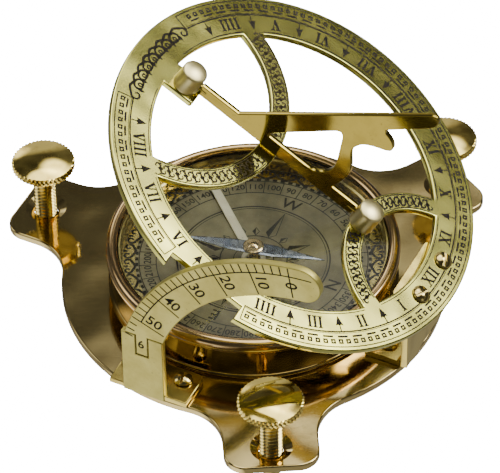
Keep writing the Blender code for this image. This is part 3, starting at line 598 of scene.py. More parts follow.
BRACKET_SCREWS = [(hinge[0] - BRACKET_SCREW_INSET, side * BRACKET_SCREW_Y) for side in (-1, 1)]
stem_holes = [circle(polar(EAR_PITCH, angle), STEM_HOLE_R, 48) for angle in EAR_ANGLES]
screw_holes = [circle(place, SCREW_HOLE_R, 24) for place in FOOT_SCREWS + BRACKET_SCREWS]
base = piece(plate([plate_outline()] + stem_holes + screw_holes, 0, PLATE_T, edge=0.45, steps=4),
             "plate", "base", PLATE_BRASS, stands_for=["base_plate"])
for angle in EAR_ANGLES:
    cone = turned([(0, PLATE_T - SINK_H), (STEM_HOLE_R, PLATE_T - SINK_H), (SINK_R, PLATE_T),
                   (SINK_R, PLATE_T + 1), (0, PLATE_T + 1)], 64)
    carve(base, cone, Matrix.Translation((*polar(EAR_PITCH, angle), 0)))
for angle in (30, 150, 270):
    cone = turned([(0, -1), (4.0, -1), (1.6, 1.4), (1.6, PLATE_T + 0.1), (0, PLATE_T + 0.1)], 32)
    carve(base, cone, Matrix.Translation((*polar(24.0, angle), 0)))
print("plate faces:", len(base.data.polygons))

# %% [markdown]
# ## Levelling screws
# Each ear is threaded for a stout screw. The thread is one small triangular tooth, spun about the
# stem while it climbs by a pitch each turn, which is how a die cuts it. The knob above is a shallow
# turned dome with two knurled rows at its rim. Every second point of a row is pushed in, and the
# rows are half a step apart.

# %% Threaded stems and knurled knobs
STEM_BELOW = 6.6
KNOB_R = 9.0
KNOB_TOP = 21.8
KNOB_T = 3.9
PITCH = 1.25
KNURLS = 46
KNURL_DEPTH = 0.5
KNURL_REACH = 0.6
ROW_SPLIT = 1.7


def threaded_stem():
    root = STEM_R - 0.55
    neck = KNOB_TOP - KNOB_T
    turns = int((neck - 1.6 + STEM_BELOW - 0.8) / PITCH)
    mesh = turned([(0, -STEM_BELOW), (root - 0.3, -STEM_BELOW), (root, -STEM_BELOW + 0.3),
                   (root, neck - 0.9), (STEM_R - 1.0, neck - 0.2), (STEM_R - 1.0, neck + 2.2),
                   (0, neck + 2.2)], 48)
    start = 0.5 - STEM_BELOW
    tooth = [(root - 0.15, start), (STEM_R - 0.02, start + PITCH * 0.40),
             (STEM_R - 0.02, start + PITCH * 0.52), (root - 0.15, start + PITCH * 0.92)]
    corners = [mesh.verts.new((radius, 0, height)) for radius, height in tooth]
    face = mesh.faces.new(corners)
    bmesh.ops.spin(mesh, geom=corners + list(face.edges) + [face], cent=(0, 0, 0), axis=(0, 0, 1),
                   angle=2 * math.pi * turns, steps=28 * turns, dvec=(0, 0, PITCH / 28))
    bmesh.ops.recalc_face_normals(mesh, faces=mesh.faces[:])
    return mesh


def knob():
    low = KNOB_TOP - KNOB_T
    dome = dome_run(KNOB_R - 0.95, low + 2.85, KNOB_TOP, 12)
    profile = [(0, low), (KNOB_R - 2.2, low), (KNOB_R - 1.2, low + 0.25), (KNOB_R - 0.45, low + 0.5),
               (KNOB_R - 0.05, low + 0.75), (KNOB_R, low + 0.95), (KNOB_R, low + 1.45),
               (KNOB_R - 0.3, low + 1.62), (KNOB_R, low + 1.8), (KNOB_R, low + 2.4),
               (KNOB_R - 0.05, low + 2.6), (KNOB_R - 0.45, low + 2.75)] + dome
    mesh = turned(profile, 2 * KNURLS)
    for vertex in mesh.verts:
        radius = math.hypot(vertex.co.x, vertex.co.y)
        step = round(math.atan2(vertex.co.y, vertex.co.x) / (math.pi / KNURLS))
        row = vertex.co.z > low + ROW_SPLIT
        past = radius - KNOB_R + KNURL_REACH
        if past > 0 and (step + row) % 2:
            vertex.co.xy *= (radius - KNURL_DEPTH * min(1, past / KNURL_DEPTH)) / radius
    return mesh


for number, angle in enumerate(EAR_ANGLES, 1):
    place = Matrix.Translation((*polar(EAR_PITCH, angle), 0))
    body = f"levelling_screw_{number}"
    piece(threaded_stem(), f"threaded_stem_{number}", body, SCREW_BRASS, place,
          [f"levelling_stem_{number}"])
    piece(knob(), f"knurled_knob_{number}", body, KNOB_FINISHES[number - 1], place,
          [f"levelling_knob_{number}"], sharp=24)
print("thread pitch", PITCH, "mm, knurls", KNURLS)

# %% [markdown]
# ## Compass drum, bezel and glass
# The drum, the bezel and the seat ring come off the lathe, so each is a profile spun once. The drum
# has a bead where it meets the plate. The bezel is a reddish ring with a round top that is sprung
# over the drum and holds the glass down.

# %% Turned compass parts
BOWL_R = 40.0
BOWL_TOP = 15.4
LEDGE_Z = 7.4
BEZEL_R = 41.0
BEZEL_INNER_R = 37.6
BEZEL_TOP = 16.4
SKIRT_Z = 12.6
SEAT_R = 36.6
SEAT_TOP = 14.1
DIAL_TOP = 8.4


def drum():
    low = PLATE_T + 0.05
    bead = arc((BOWL_R, low + 0.75), 0.7, -80, 80, 8)
    inner = BOWL_R - 1.6
    return turned([(0, low), (BOWL_R, low)] + bead
                  + [(BOWL_R, low + 1.7), (BOWL_R, SKIRT_Z - 0.4), (BOWL_R - 0.3, SKIRT_Z),
                     (BOWL_R - 0.3, BOWL_TOP), (inner, BOWL_TOP), (inner, LEDGE_Z),
                     (35.5, LEDGE_Z), (35.5, low + 1.6), (0, low + 1.6)], 192)


def bezel():
    skirt = BOWL_R - 0.1
    crown = (BEZEL_R + BEZEL_INNER_R) / 2
    half = (BEZEL_R - BEZEL_INNER_R) / 2
    rise = 1.7
    top = [(crown + half * math.cos(math.radians(a)),
            BEZEL_TOP - rise + rise * math.sin(math.radians(a))) for a in range(0, 181, 12)]
    return turned([(skirt, SKIRT_Z), (BEZEL_R - 0.25, SKIRT_Z), (BEZEL_R, SKIRT_Z + 0.25),
                   (BEZEL_R, SKIRT_Z + 0.9), (BEZEL_R - 0.35, SKIRT_Z + 1.15),
                   (BEZEL_R - 0.35, SKIRT_Z + 1.35), (BEZEL_R, SKIRT_Z + 1.6)] + top[:-1]
                  + [(BEZEL_INNER_R, BOWL_TOP + 0.2), (skirt, BOWL_TOP + 0.2)], 192)


def seat_ring():
    low = DIAL_TOP + 0.1
    outer = BOWL_R - 1.8
    return turned([(SEAT_R + 0.2, low), (outer, low), (outer, SEAT_TOP), (SEAT_R + 0.5, SEAT_TOP),
                   (SEAT_R + 0.5, SEAT_TOP - 1.6), (SEAT_R, SEAT_TOP - 2.0), (SEAT_R, low + 0.5)],
                  192)


def pane():
    low = SEAT_TOP + 0.2
    return turned([(0, low), (38.1, low), (38.1, low + 1.1), (37.9, low + 1.3), (0, low + 1.3)],
                  192)


piece(drum(), "drum", "base", BOWL_BRASS, FLAT, ["compass_bowl"])
piece(bezel(), "bezel", "base", BEZEL_BRASS, FLAT, ["bezel_ring"])
piece(seat_ring(), "seat_ring", "base", SEAT_BRASS, FLAT, ["glass_seat_ring"])
piece(pane(), "glass", "base", CLEAR_GLASS, FLAT, ["glass_cover"])
print("bezel", 2 * BEZEL_R, "mm across,", BEZEL_TOP - PLATE_T, "mm above the plate")

# %% [markdown]
# ## Dial
# The dial is a silvered plate with printed rings: a scroll border at its edge, a row of ticks, the
# degrees in tens, the four letters and a rose of rays. The border is a brass band with dark scrolls
# printed on it, and one scroll unit is drawn once and repeated round the circle.

# %% Dial plate and its printed marks
def dial_sheet():
    return turned([(1.6, LEDGE_Z + 0.1), (38.1, LEDGE_Z + 0.1), (38.1, DIAL_TOP), (1.6, DIAL_TOP)],
                  192)


def band(inner, outer, low, high):
    return turned([(inner, low), (outer, low), (outer, high), (inner, high)], 192)


def spiral(centre, radius, start, turn, steps=9):
    """A stroke that curls in from radius to a third of it while it turns."""
    points = []
    for i in range(steps + 1):
        share = i / steps
        here = radius * (1 - 0.66 * share)
        angle = math.radians(start + turn * share)
        points.append((centre[0] + here * math.cos(angle), centre[1] + here * math.sin(angle)))
    return points


def leaf_scroll(drawing, matrix, size, thin):
    """Two opposed curls on one stem with a bud between, the border's repeating unit."""
    for side in (1, -1):
        curl = spiral((side * size * 0.42, size * 0.12), size * 0.34, -90, side * 330)
        drawing.stroke([(0, -size * 0.42), (side * size * 0.16, -size * 0.36)] + curl,
                       (thin, thin * 0.6), matrix)
    drawing.shape([(0, size * 0.05), (size * 0.11, size * 0.28), (0, size * 0.55),
                   (-size * 0.11, size * 0.28)], matrix)


BORDER_R = (33.1, 36.5)
SCROLL_R = 34.7
TICK_R = 32.65
DEGREES_R = (27.2, 32.0)
DIAL_LINES = [(37.0, 0.3), (DEGREES_R[1], 0.3), (DEGREES_R[0], 0.28), (21.4, 0.4), (20.6, 0.2),
              (9.4, 0.3), (5.6, 0.2)]
RAY_REACH = (20.2, 12.8, 16.8, 12.8)
RAY_FROM = 9.6
RAY_SHOULDER = 11.2


def dial_border():
    drawing = Drawing()
    for angle in range(0, 360, 10):
        leaf_scroll(drawing, at_angle(SCROLL_R, angle, angle - 90), 3.9, 0.8)
    return drawing.solid(DIAL_TOP + 0.03, DIAL_TOP + 0.07)


def ray(drawing, angle, reach, width):
    """One pointed ray of the rose, dark on one side of its middle line and outlined on the other."""
    matrix = Matrix.Rotation(math.radians(angle), 4, "Z")
    drawing.shape([(RAY_FROM, 0), (RAY_SHOULDER, width / 2), (reach, 0)], matrix)
    drawing.stroke([(RAY_FROM, 0), (RAY_SHOULDER, -width / 2), (reach, 0)], 0.22, matrix)


def dial_marks():
    drawing = Drawing()
    for radius, width in DIAL_LINES:
        drawing.ring_line((0, 0), radius, 0, 360, width)
    for angle in range(0, 360, 4):
        drawing.ring_line((0, 0), TICK_R, angle, angle + 2.2, 0.8, 1)
    for angle in range(0, 360, 10):
        drawing.stroke([polar(DEGREES_R[1], angle), polar(DEGREES_R[0], angle)], 0.26)
        label = at_angle(29.5, angle + 4.8, angle + 4.8 - 90)
        drawing.text(str(angle), 2.9, label)
    for number, letter in enumerate("NWSE"):
        drawing.text(letter, 5.4, at_angle(24.2, number * 90, number * 90 - 90))
    for number in range(16):
        ray(drawing, number * 22.5, RAY_REACH[number % 4], 3.2 if number % 2 == 0 else 2.0)
    return drawing.solid(DIAL_TOP - 0.02, DIAL_TOP + 0.03)


piece(dial_sheet(), "dial", "base", DIAL_SILVER, FLAT, ["dial_plate"])
piece(band(*BORDER_R, DIAL_TOP - 0.02, DIAL_TOP + 0.03), "dial_border_ground", "base", SEAT_BRASS)
piece(dial_border(), "dial_border", "base", DIAL_INK)
piece(dial_marks(), "dial_marks", "base", DIAL_INK)
print("dial: 36 degree numbers, 4 letters, 16 rays, 36 scrolls")

# %% [markdown]
# ## Needle, cap and stop lever
# The needle is a long lozenge of thin steel, ground to a ridge along its middle. A turned brass cap
# with a bearing rests on the pivot's point. A flat lever reaches in from the drum's wall and lifts
# the needle off its point when the dial is put away.

# %% Needle and lever
NEEDLE_TURN = math.radians(11.0)
LEVER_TURN = 137.0
NEEDLE_HALF_L = 20.5
NEEDLE_HALF_W = 2.2
NEEDLE_T = 0.5


def needle():
    long, wide = NEEDLE_HALF_L, NEEDLE_HALF_W
    mesh = plate([[(long, 0), (6, wide), (0, wide * 1.02), (-6, wide), (-long, 0), (-6, -wide),
                   (0, -wide * 1.02), (6, -wide)], circle((0, 0), 1.3, 24)],
                 0, NEEDLE_T * 0.6, edge=0)
    top = [face for face in mesh.faces if face.normal.z > 0.9]
    bmesh.ops.inset_region(mesh, faces=top, use_boundary=True, use_even_offset=True,
                           thickness=0.55, depth=NEEDLE_T * 0.4)
    return mesh


def cap():
    top = 0.7
    return turned([(0.6, 0), (1.1, 0), (1.1, top), (2.75, top), (2.9, top + 0.1), (2.9, top + 0.28),
                   (2.5, top + 0.5), (1.5, top + 0.5), (1.3, top + 0.62)]
                  + dome_run(1.2, top + 0.7, top + 1.15, 6) + [(0, 0.9), (0.6, 0.6)], 64)


def stop_lever():
    eye, half = 3.4, 1.3
    side = math.degrees(math.asin(half / eye))
    outline = joined(arc((0, 0), eye, side, 360 - side, 48), [(SEAT_R - 0.3, -half),
                                                               (SEAT_R - 0.3, half)])
    return plate([turned_about(outline, LEVER_TURN), circle((0, 0), 2.0, 40)], 8.6, 9.1, edge=0.12,
                 steps=2)


NEEDLE = Matrix.Translation((0, 0, needle_place[2])) @ Matrix.Rotation(NEEDLE_TURN, 4, "Z")
piece(needle(), "needle", "needle", BLUED_STEEL, NEEDLE, ["compass_needle"],
      sharp=12)
piece(cap(), "cap", "needle", CAP_FINISH, NEEDLE, ["needle_cap"])
piece(stop_lever(), "stop_lever", "base", LEVER_BRASS, FLAT, ["needle_lever"])
print("needle is", 2 * NEEDLE_HALF_L, "mm long and turns at", [round(v, 1) for v in needle_place])

# %% [markdown]
# ## Hour ring
# The ring is sawn from one plate. Two curved bars cross it, and the windows between them are what
# is left of three overlapping circles, so each window's outline is a few arcs that meet where the
# circles cross. The ring is drawn flat about its centre and then tipped into place.

# %% The ring's outline and windows
RING_R = 55.2
RING_INNER_R = 43.0
RING_T = 2.0
FAR_BAR = (-40.6, 34.0, 28.2)
NEAR_BAR = (45.0, 25.0, 19.4)
LUG_X = -33.2
LUG_HALF_W = 4.3
NOTCH_X = (-14.0, 9.0)
NOTCH_Y = -49.4
RING_TOP = RING_T / 2


def far_window():
    angle, own = crossing(RING_INNER_R, FAR_BAR[0], FAR_BAR[2])
    lug = 180 - math.degrees(math.asin(LUG_HALF_W / RING_INNER_R))
    return joined(arc((FAR_BAR[0], 0), FAR_BAR[2], -own, own, 48),
                  arc((0, 0), RING_INNER_R, angle, lug, 28),
                  arc((LUG_X - 0.8, LUG_HALF_W - 0.8), 0.8, 90, 0, 4),
                  arc((LUG_X - 0.8, 0.8 - LUG_HALF_W), 0.8, 0, -90, 4),
                  arc((0, 0), RING_INNER_R, 360 - lug, 360 - angle, 28))


def middle_window():
    far, far_own = crossing(RING_INNER_R, FAR_BAR[0], FAR_BAR[1])
    near, near_own = crossing(RING_INNER_R, NEAR_BAR[0], NEAR_BAR[1])
    return joined(arc((0, 0), RING_INNER_R, -far, -near, 48),
                  arc((NEAR_BAR[0], 0), NEAR_BAR[1], 360 - near_own, near_own, 48),
                  arc((0, 0), RING_INNER_R, near, far, 48),
                  arc((FAR_BAR[0], 0), FAR_BAR[1], far_own, -far_own, 48))


def near_window():
    angle, own = crossing(RING_INNER_R, NEAR_BAR[0], NEAR_BAR[2])
    return joined(arc((0, 0), RING_INNER_R, -angle, angle, 28),
                  arc((NEAR_BAR[0], 0), NEAR_BAR[2], own, 360 - own, 40))


def ring_rim():
    low, high = NOTCH_X
    start = math.degrees(math.atan2(-math.sqrt(RING_R ** 2 - high ** 2), high))
    end = math.degrees(math.atan2(-math.sqrt(RING_R ** 2 - low ** 2), low)) + 360
    return joined(arc((0, 0), RING_R, start, end, 200), [(low, NOTCH_Y), (high, NOTCH_Y)])


RING_SCREWS = [polar(47.9, side * 8.8) for side in (-1, 1)]
ring_holes = [circle((x, 0), 1.6, 24) for x in POST_X]
ring_holes += [circle(place, SCREW_HOLE_R, 24) for place in RING_SCREWS]
windows = [far_window(), middle_window(), near_window()]
piece(plate([ring_rim()] + windows + ring_holes, -RING_TOP, RING_TOP, edge=0.42, steps=4),
      "ring", "ring", RING_BRASS, RING, ["hour_ring"])
print("ring is", 2 * RING_R, "mm across with", len(windows), "windows")

# %% [markdown]
# ## Hour marks
# The hours run both ways from the hinge, so one rule gives every mark's angle. Numerals are drawn
# from serifed strokes with their heads towards the centre. Outside them run a pair of lines, a row
# of dashes, a row of small hollow squares and a last thin line. A generic scroll fills the gap
# opposite the hinge.

# %% Roman numerals from strokes
HOUR = 18.06
GAP_FROM = 8.75
NUMERALS = {0: "XII", 1: "I", 2: "II", 3: "III", 4: "IIII", 6: "VI", 7: "VII", 8: "VIII",
            -1: "XI", -2: "X", -3: "IX", -4: "VIII", -5: "VII", -6: "VI", -7: "V", -8: "IIII"}
WIDTHS = {"I": 1.6, "V": 2.8, "X": 3.0}
# no arrow stands beside XII, and none at the notch
ARROWLESS = (-1, 0, 4)
NUMERAL_R = 46.75
NUMERAL_H = 3.3
OUTER_LINE_R = 53.95
SQUARES_R = 52.3
DASHES_R = 50.85
DOUBLE_LINE_R = (49.4, 49.85)
INNER_LINE_R = 43.95
SQUARE_PITCH = HOUR / 7
DASH_PITCH = HOUR / 3.5
DASH_SPAN = 3.4


def numeral(drawing, letters, place):
    """Draws the letters centred on the place, their feet towards -y."""
    x = -sum(WIDTHS[letter] for letter in letters) / 2
    high = NUMERAL_H / 2
    for letter in letters:
        middle = x + WIDTHS[letter] / 2
        if letter == "I":
            bars = [((middle, -high), (middle, high), 0.7)]
            feet = [(middle, -high), (middle, high)]
        elif letter == "V":
            bars = [((middle - 0.82, high), (middle + 0.05, -high), 0.75),
                    ((middle + 0.82, high), (middle + 0.05, -high), 0.38)]
            feet = [(middle - 0.82, high), (middle + 0.82, high)]
        else:
            bars = [((middle - 0.9, high), (middle + 0.9, -high), 0.75),
                    ((middle + 0.9, high), (middle - 0.9, -high), 0.38)]
            feet = [(middle - 0.9, high), (middle + 0.9, high), (middle - 0.9, -high),
                    (middle + 0.9, -high)]
        for start, end, width in bars:
            drawing.stroke([start, end], width, place)
        for foot_x, foot_y in feet:
            drawing.stroke([(foot_x - 0.68, foot_y), (foot_x + 0.68, foot_y)], 0.32, place)
        x += WIDTHS[letter]


def half_hour_arrow(drawing, place):
    """A tree-shaped arrow that points to the centre, on a stem from the double line."""
    drawing.stroke([(0, -2.6), (0, 0)], 0.34, place)
    drawing.shape([(0, 2.1), (-1.2, -0.9), (-0.5, -0.6), (0, -1.0), (0.5, -0.6), (1.2, -0.9)],
                  place)


# %% [markdown]
# ## Bands and numerals round the ring
# Every mark is drawn once at the origin and carried to its angle by a matrix, with +y towards the
# centre. The bands stop at the notch and at the scroll, so their runs are worked out from both.

# %% The ring's face
def on_face(radius, degrees):
    """Place on the ring's face with +y towards the centre."""
    return at_angle(radius, degrees, degrees + 90)


def notch_angles():
    """The two ends of the notch, in degrees clockwise from the hinge."""
    low, high = NOTCH_X
    radius = 52.0
    return (math.degrees(math.asin(-low / radius)) + 90, 90 - math.degrees(math.asin(high / radius)))


def band_runs():
    """The two runs of the outer bands: notch past the hinge to the scroll, and scroll to notch."""
    after, before = notch_angles()
    gap_end = 180 - GAP_FROM * 2.1
    return [(-before + 1.2, gap_end), (-gap_end, -after - 1.2)]


def hollow_square(drawing, place, half=0.7, line=0.46):
    """A square outline whose middle stays bright."""
    for turn in range(4):
        side = place @ Matrix.Rotation(math.radians(90 * turn), 4, "Z")
        drawing.stroke([(line - half, half - line / 2), (half, half - line / 2)], line, side)


def inner_line_runs():
    """Runs of the line inside the numerals, which stops where a bar leaves the ring."""
    near_outer = crossing(RING_INNER_R, NEAR_BAR[0], NEAR_BAR[1])[0]
    near_inner = crossing(RING_INNER_R, NEAR_BAR[0], NEAR_BAR[2])[0]
    far_outer = crossing(RING_INNER_R, FAR_BAR[0], FAR_BAR[1])[0]
    far_inner = crossing(RING_INNER_R, FAR_BAR[0], FAR_BAR[2])[0]
    return [(-near_inner, near_inner), (near_outer, far_outer), (far_inner, 170),
            (-170, -far_inner), (-far_outer, -near_outer)]


def hour_marks():
    drawing = Drawing()
    for hour, letters in NUMERALS.items():
        numeral(drawing, letters, on_face(NUMERAL_R, -hour * HOUR))
    for half in range(-9, 9):
        angle = -(half + 0.5) * HOUR
        if half not in ARROWLESS:
            half_hour_arrow(drawing, on_face(NUMERAL_R - 0.1, angle))
    for start, end in band_runs():
        drawing.ring_line((0, 0), OUTER_LINE_R, start, end, 0.30, 60)
        drawing.ring_line((0, 0), DOUBLE_LINE_R[1], start, end, 0.16, 60)
        drawing.ring_line((0, 0), DOUBLE_LINE_R[0], start, end, 0.42, 60)
        for angle in (start, end):
            drawing.stroke([polar(DOUBLE_LINE_R[0] - 0.05, angle),
                            polar(OUTER_LINE_R + 0.05, angle)], 0.3)
        room = end - start - 1.5
        for number in range(int(room / SQUARE_PITCH)):
            hollow_square(drawing, on_face(SQUARES_R, start + 1.6 + number * SQUARE_PITCH))
        for number in range(int(room / DASH_PITCH)):
            angle = start + 1.0 + number * DASH_PITCH
            drawing.ring_line((0, 0), DASHES_R, angle, angle + DASH_SPAN, 0.55, 3)
    for start, end in inner_line_runs():
        drawing.ring_line((0, 0), INNER_LINE_R, start, end, 0.26, 40)
    return drawing.solid(RING_TOP - 0.03, RING_TOP + 0.02)


piece(hour_marks(), "hour_marks", "ring", BLACK_FILL, RING)
print("numerals:", len(NUMERALS), "bands run", [tuple(round(v) for v in run)
                                              for run in band_runs()])

# %% [markdown]
# ## Scrolls on the bars
# Both curved bars carry a running scroll between two edge lines. The unit is an S made of two curls
# that turn opposite ways, with a small bud in each bend. It repeats along the bar's middle circle.

# %% Running scroll along a bar
def s_scroll(drawing, place, size, thin):
    drawing.stroke(spiral((-size * 0.26, size * 0.16), size * 0.26, -60, 300), (thin, thin * 0.5),
                   place)
    drawing.stroke(spiral((size * 0.26, -size * 0.16), size * 0.26, 120, 300), (thin, thin * 0.5),
                   place)
    drawing.stroke([(-size * 0.13, -size * 0.065), (size * 0.13, size * 0.065)], thin, place)
    for side in (1, -1):
        drawing.shape([(side * size * 0.05, side * -size * 0.30),
                       (side * size * 0.16, side * -size * 0.44), (side * -size * 0.06,
                                                                   side * -size * 0.42)], place)


def bar_marks(centre_x, outer, inner, start, end, count, size):
    drawing = Drawing()
    middle = (outer + inner) / 2
    for radius in (outer - 0.75, inner + 0.75):
        drawing.ring_line((centre_x, 0), radius, start, end, 0.34, 40)
    shift = Matrix.Translation((centre_x, 0, 0))
    for number in range(count):
        angle = start + (end - start) * (number + 0.5) / count
        s_scroll(drawing, shift @ at_angle(middle, angle, angle + 90), size, 0.72)
    return drawing.solid(RING_TOP - 0.03, RING_TOP + 0.02)


FAR_SCROLLS = (14, 4.2)
NEAR_SCROLLS = (10, 4.0)
far_own = crossing(RING_INNER_R, FAR_BAR[0], FAR_BAR[2])[1]
near_own = crossing(RING_INNER_R, NEAR_BAR[0], NEAR_BAR[1])[1]
BAR_RUNS = [("far_bar_scroll_1", FAR_BAR, 8, far_own - 3, FAR_SCROLLS, BROWN_FILL),
            ("far_bar_scroll_2", FAR_BAR, 3 - far_own, -8, FAR_SCROLLS, BROWN_FILL),
            ("near_bar_scroll_1", NEAR_BAR, near_own + 2, 170, NEAR_SCROLLS, BLACK_FILL),
            ("near_bar_scroll_2", NEAR_BAR, 190, 358 - near_own, NEAR_SCROLLS, BLACK_FILL)]
for name, bar, start, end, scrolls, wax in BAR_RUNS:
    piece(bar_marks(*bar, start, end, *scrolls), name, "ring", wax, RING)


GAP_UNITS = 8
GAP_PITCH = 4.1
GAP_R = 49.4


def gap_scroll():
    drawing = Drawing()
    for number in range(GAP_UNITS):
        angle = (number - (GAP_UNITS - 1) / 2) * GAP_PITCH
        leaf_scroll(drawing, at_angle(GAP_R, 180 + angle, 270 + angle), 4.8, 0.8)
    return drawing.solid(RING_TOP - 0.03, RING_TOP + 0.02)


piece(gap_scroll(), "gap_scroll", "ring", BLACK_FILL, RING)
print("scroll units on the bars:", sum(run[4][0] for run in BAR_RUNS))

# %% [markdown]
# ## Gnomon and its posts
# The gnomon is sawn from thick plate: a long arm that turns in two domed posts, a sloping style
# whose edge casts the shadow, and a scrolled support with a shallow finger notch. Its round
# stretches run through a few points each, joined by a smooth curve, as a saw would follow them.

# %% Smooth curve through a few points
def through(points, steps=6):
    """A Catmull-Rom curve through the points, ends included."""
    run = [Vector(point) for point in points]
    run = [2 * run[0] - run[1]] + run + [2 * run[-1] - run[-2]]
    made = []
    for a, b, c, d in zip(run, run[1:], run[2:], run[3:]):
        for i in range(steps):
            t = i / steps
            bend = 2 * b + (c - a) * t + (2 * a - 5 * b + 4 * c - d) * t ** 2
            made.append(tuple((bend + (3 * b - a - 3 * c + d) * t ** 3) / 2))
    return made + [tuple(points[-1])]


# %% [markdown]
# ## Tenons and turned posts
# The curve above draws the support, the hook and the tip. The arm ends in a round tenon on either
# side, and the tenons turn in the posts.

# %% Gnomon plate, tenons and posts
GNOMON_T = 1.6
GNOMON_AXIS = 3.6
ARM = (1.6, 5.4)
POST_R = 3.6
POST_TOP = 8.2
TENON_R = 0.95
ARM_X = (POST_R + 0.3, POST_X[1] - POST_X[0] - POST_R - 0.3)


def gnomon_outline():
    start, end = ARM_X
    low, high = ARM
    support = through([(48.2, high), (48.9, 9.0), (49.3, 12.0), (49.1, 14.6), (48.2, 17.0),
                       (46.3, 20.2), (45.5, 22.4), (45.8, 24.6), (46.8, 26.6), (49.0, 28.4),
                       (52.2, 30.2)], 4)
    hook = through([(52.2, 30.2), (53.3, 31.3), (53.2, 32.9), (51.6, 34.6), (49.2, 35.6)], 4)
    tip = through([(57.2, 48.2), (57.7, 50.0), (57.3, 51.6), (56.2, 52.4), (54.9, 51.9)], 5)
    return joined([(start, low), (end, low), (end, high)], support, hook, [(48.6, 36.6)], tip,
                  [(16.2, high), (start, high)])


def gnomon_window():
    high = ARM[1]
    return joined(through([(26.6, high + 0.3), (25.9, 6.4), (26.6, 8.0)], 4),
                  through([(38.9, 24.2), (40.1, 24.9), (41.2, 24.0)], 4),
                  through([(44.6, 14.6), (44.9, 11.6), (43.9, 8.4), (41.6, 6.2),
                           (38.6, high + 0.3)], 4))


def gnomon_mesh():
    mesh = plate([gnomon_outline(), gnomon_window()], -GNOMON_T / 2, GNOMON_T / 2, edge=0.22,
                 steps=3)
    for x in ARM_X:
        tenon = turned([(0, -2.2), (TENON_R - 0.15, -2.2), (TENON_R, -2.05), (TENON_R, 2.05),
                        (TENON_R - 0.15, 2.2), (0, 2.2)], 32)
        lay = Matrix.Translation((x, GNOMON_AXIS, 0)) @ Matrix.Rotation(math.pi / 2, 4, "Y")
        bmesh.ops.transform(tenon, matrix=lay, verts=tenon.verts[:])
        holder = bpy.data.meshes.new("tenon")
        tenon.to_mesh(holder)
        tenon.free()
        mesh.from_mesh(holder)
        bpy.data.meshes.remove(holder)
    return mesh


def post():
    low = RING_TOP + 0.1
    return turned([(0, -RING_TOP), (1.5, -RING_TOP), (1.5, low), (POST_R + 0.15, low),
                   (POST_R + 0.15, low + 0.5), (POST_R, low + 0.75), (POST_R, POST_TOP - 1.05),
                   (POST_R - 0.1, POST_TOP - 0.8)]
                  + dome_run(POST_R - 0.3, POST_TOP - 0.65, POST_TOP, 10), 64)


piece(gnomon_mesh(), "style", "gnomon", SHADED_GNOMON_BRASS, GNOMON, ["gnomon"])
for number, x in enumerate(POST_X, 1):
    made = piece(post(), f"post_{number}", "ring", POST_BRASS,
                 RING @ Matrix.Translation((x, 0, 0)), [f"gnomon_post_{number}"])
    bore = turned([(0, -2.2), (TENON_R + 0.1, -2.2), (TENON_R + 0.1, 2.2), (0, 2.2)], 32)
    side = POST_R if x < 0 else -POST_R
    carve(made, bore, RING @ Matrix.Translation((x + side, 0, GNOMON_AXIS))
          @ Matrix.Rotation(math.pi / 2, 4, "Y"), RING)
print("gnomon arm is", round(POST_X[1] - POST_X[0], 1), "mm between its posts")

# %% [markdown]
# ## Latitude arc and its foot
# The arc is a flat band, rounded at its tip, that stands on a folding foot. A line near its outer
# edge carries a tick every two degrees and a longer one every ten, with plain digits beside them. A
# short tongue under the band turns on a pin in the slot of the angle foot.

# %% Band, tongue and foot
ARC_CENTRE = (46.5, 8.9)
ARC_R = (49.4, 60.5)
ARC_T = 2.0
TIP_ANGLE = 6.0
FOLD_Z = 24.6
TONGUE_END_Z = 17.8
TONGUE_HALF_W = 1.7
FOOT_X = (-13.0, -0.6)
FOOT_LEAF_X = (-17.4, 6.0)
FOOT_LEAF_Y = -42.6
BRACKET_T = 1.8
DEGREE = 1.175
DEGREE_ZERO = 9.2
SCALE_R = 57.3
DIGITS_R = 54.2
PIN_Z = 21.4
PIN_R = 0.6
foot_middle = sum(FOOT_X) / 2


def band_outline():
    inner, outer = ARC_R
    fold = FOLD_Z + 0.2
    inner_end = 90 + math.degrees(math.acos((fold - ARC_CENTRE[1]) / inner))
    outer_end = 90 + math.degrees(math.acos((fold - ARC_CENTRE[1]) / outer))
    start = 90 + TIP_ANGLE
    tip = polar((outer + inner) / 2, start)
    left, right = foot_middle - TONGUE_HALF_W, foot_middle + TONGUE_HALF_W
    return joined(arc(ARC_CENTRE, outer, start, outer_end, 72),
                  [(left, fold), (left, TONGUE_END_Z), (right, TONGUE_END_Z), (right, fold)],
                  arc(ARC_CENTRE, inner, inner_end, start, 72),
                  arc((ARC_CENTRE[0] + tip[0], ARC_CENTRE[1] + tip[1]), (outer - inner) / 2,
                      start - 180, start, 32))


def degree_angle(degrees):
    return 90 + DEGREE_ZERO + DEGREE * degrees


def on_band(radius, degrees):
    """A point of the band at a latitude."""
    x, y = polar(radius, degree_angle(degrees))
    return (ARC_CENTRE[0] + x, ARC_CENTRE[1] + y)


def band_marks():
    drawing = Drawing()
    drawing.ring_line(ARC_CENTRE, SCALE_R, degree_angle(-5.5), degree_angle(50), 0.38, 60)
    for degrees in range(0, 58, 2):
        if degrees % 10:
            reach = SCALE_R if degrees < 50 else SCALE_R + 0.6
            drawing.stroke([on_band(ARC_R[1] - 0.35, degrees), on_band(reach, degrees)], 0.42)
        elif degrees <= 50:
            drawing.stroke([on_band(ARC_R[1] - 0.35, degrees), on_band(ARC_R[0] + 0.7, degrees)],
                           0.4)
            shift = 0.0 if degrees == 0 else -2.3
            place = on_band(DIGITS_R, degrees + shift)
            turn = math.radians(degree_angle(degrees + shift) - 180)
            drawing.text(str(degrees), 4.8, Matrix.Translation((*place, 0))
                         @ Matrix.Rotation(turn, 4, "Z"))
    drawing.text("6", 4.0, Matrix.Translation((foot_middle - 0.2, 21.6, 0)))
    return drawing.solid(ARC_T / 2 - 0.03, ARC_T / 2 + 0.02)


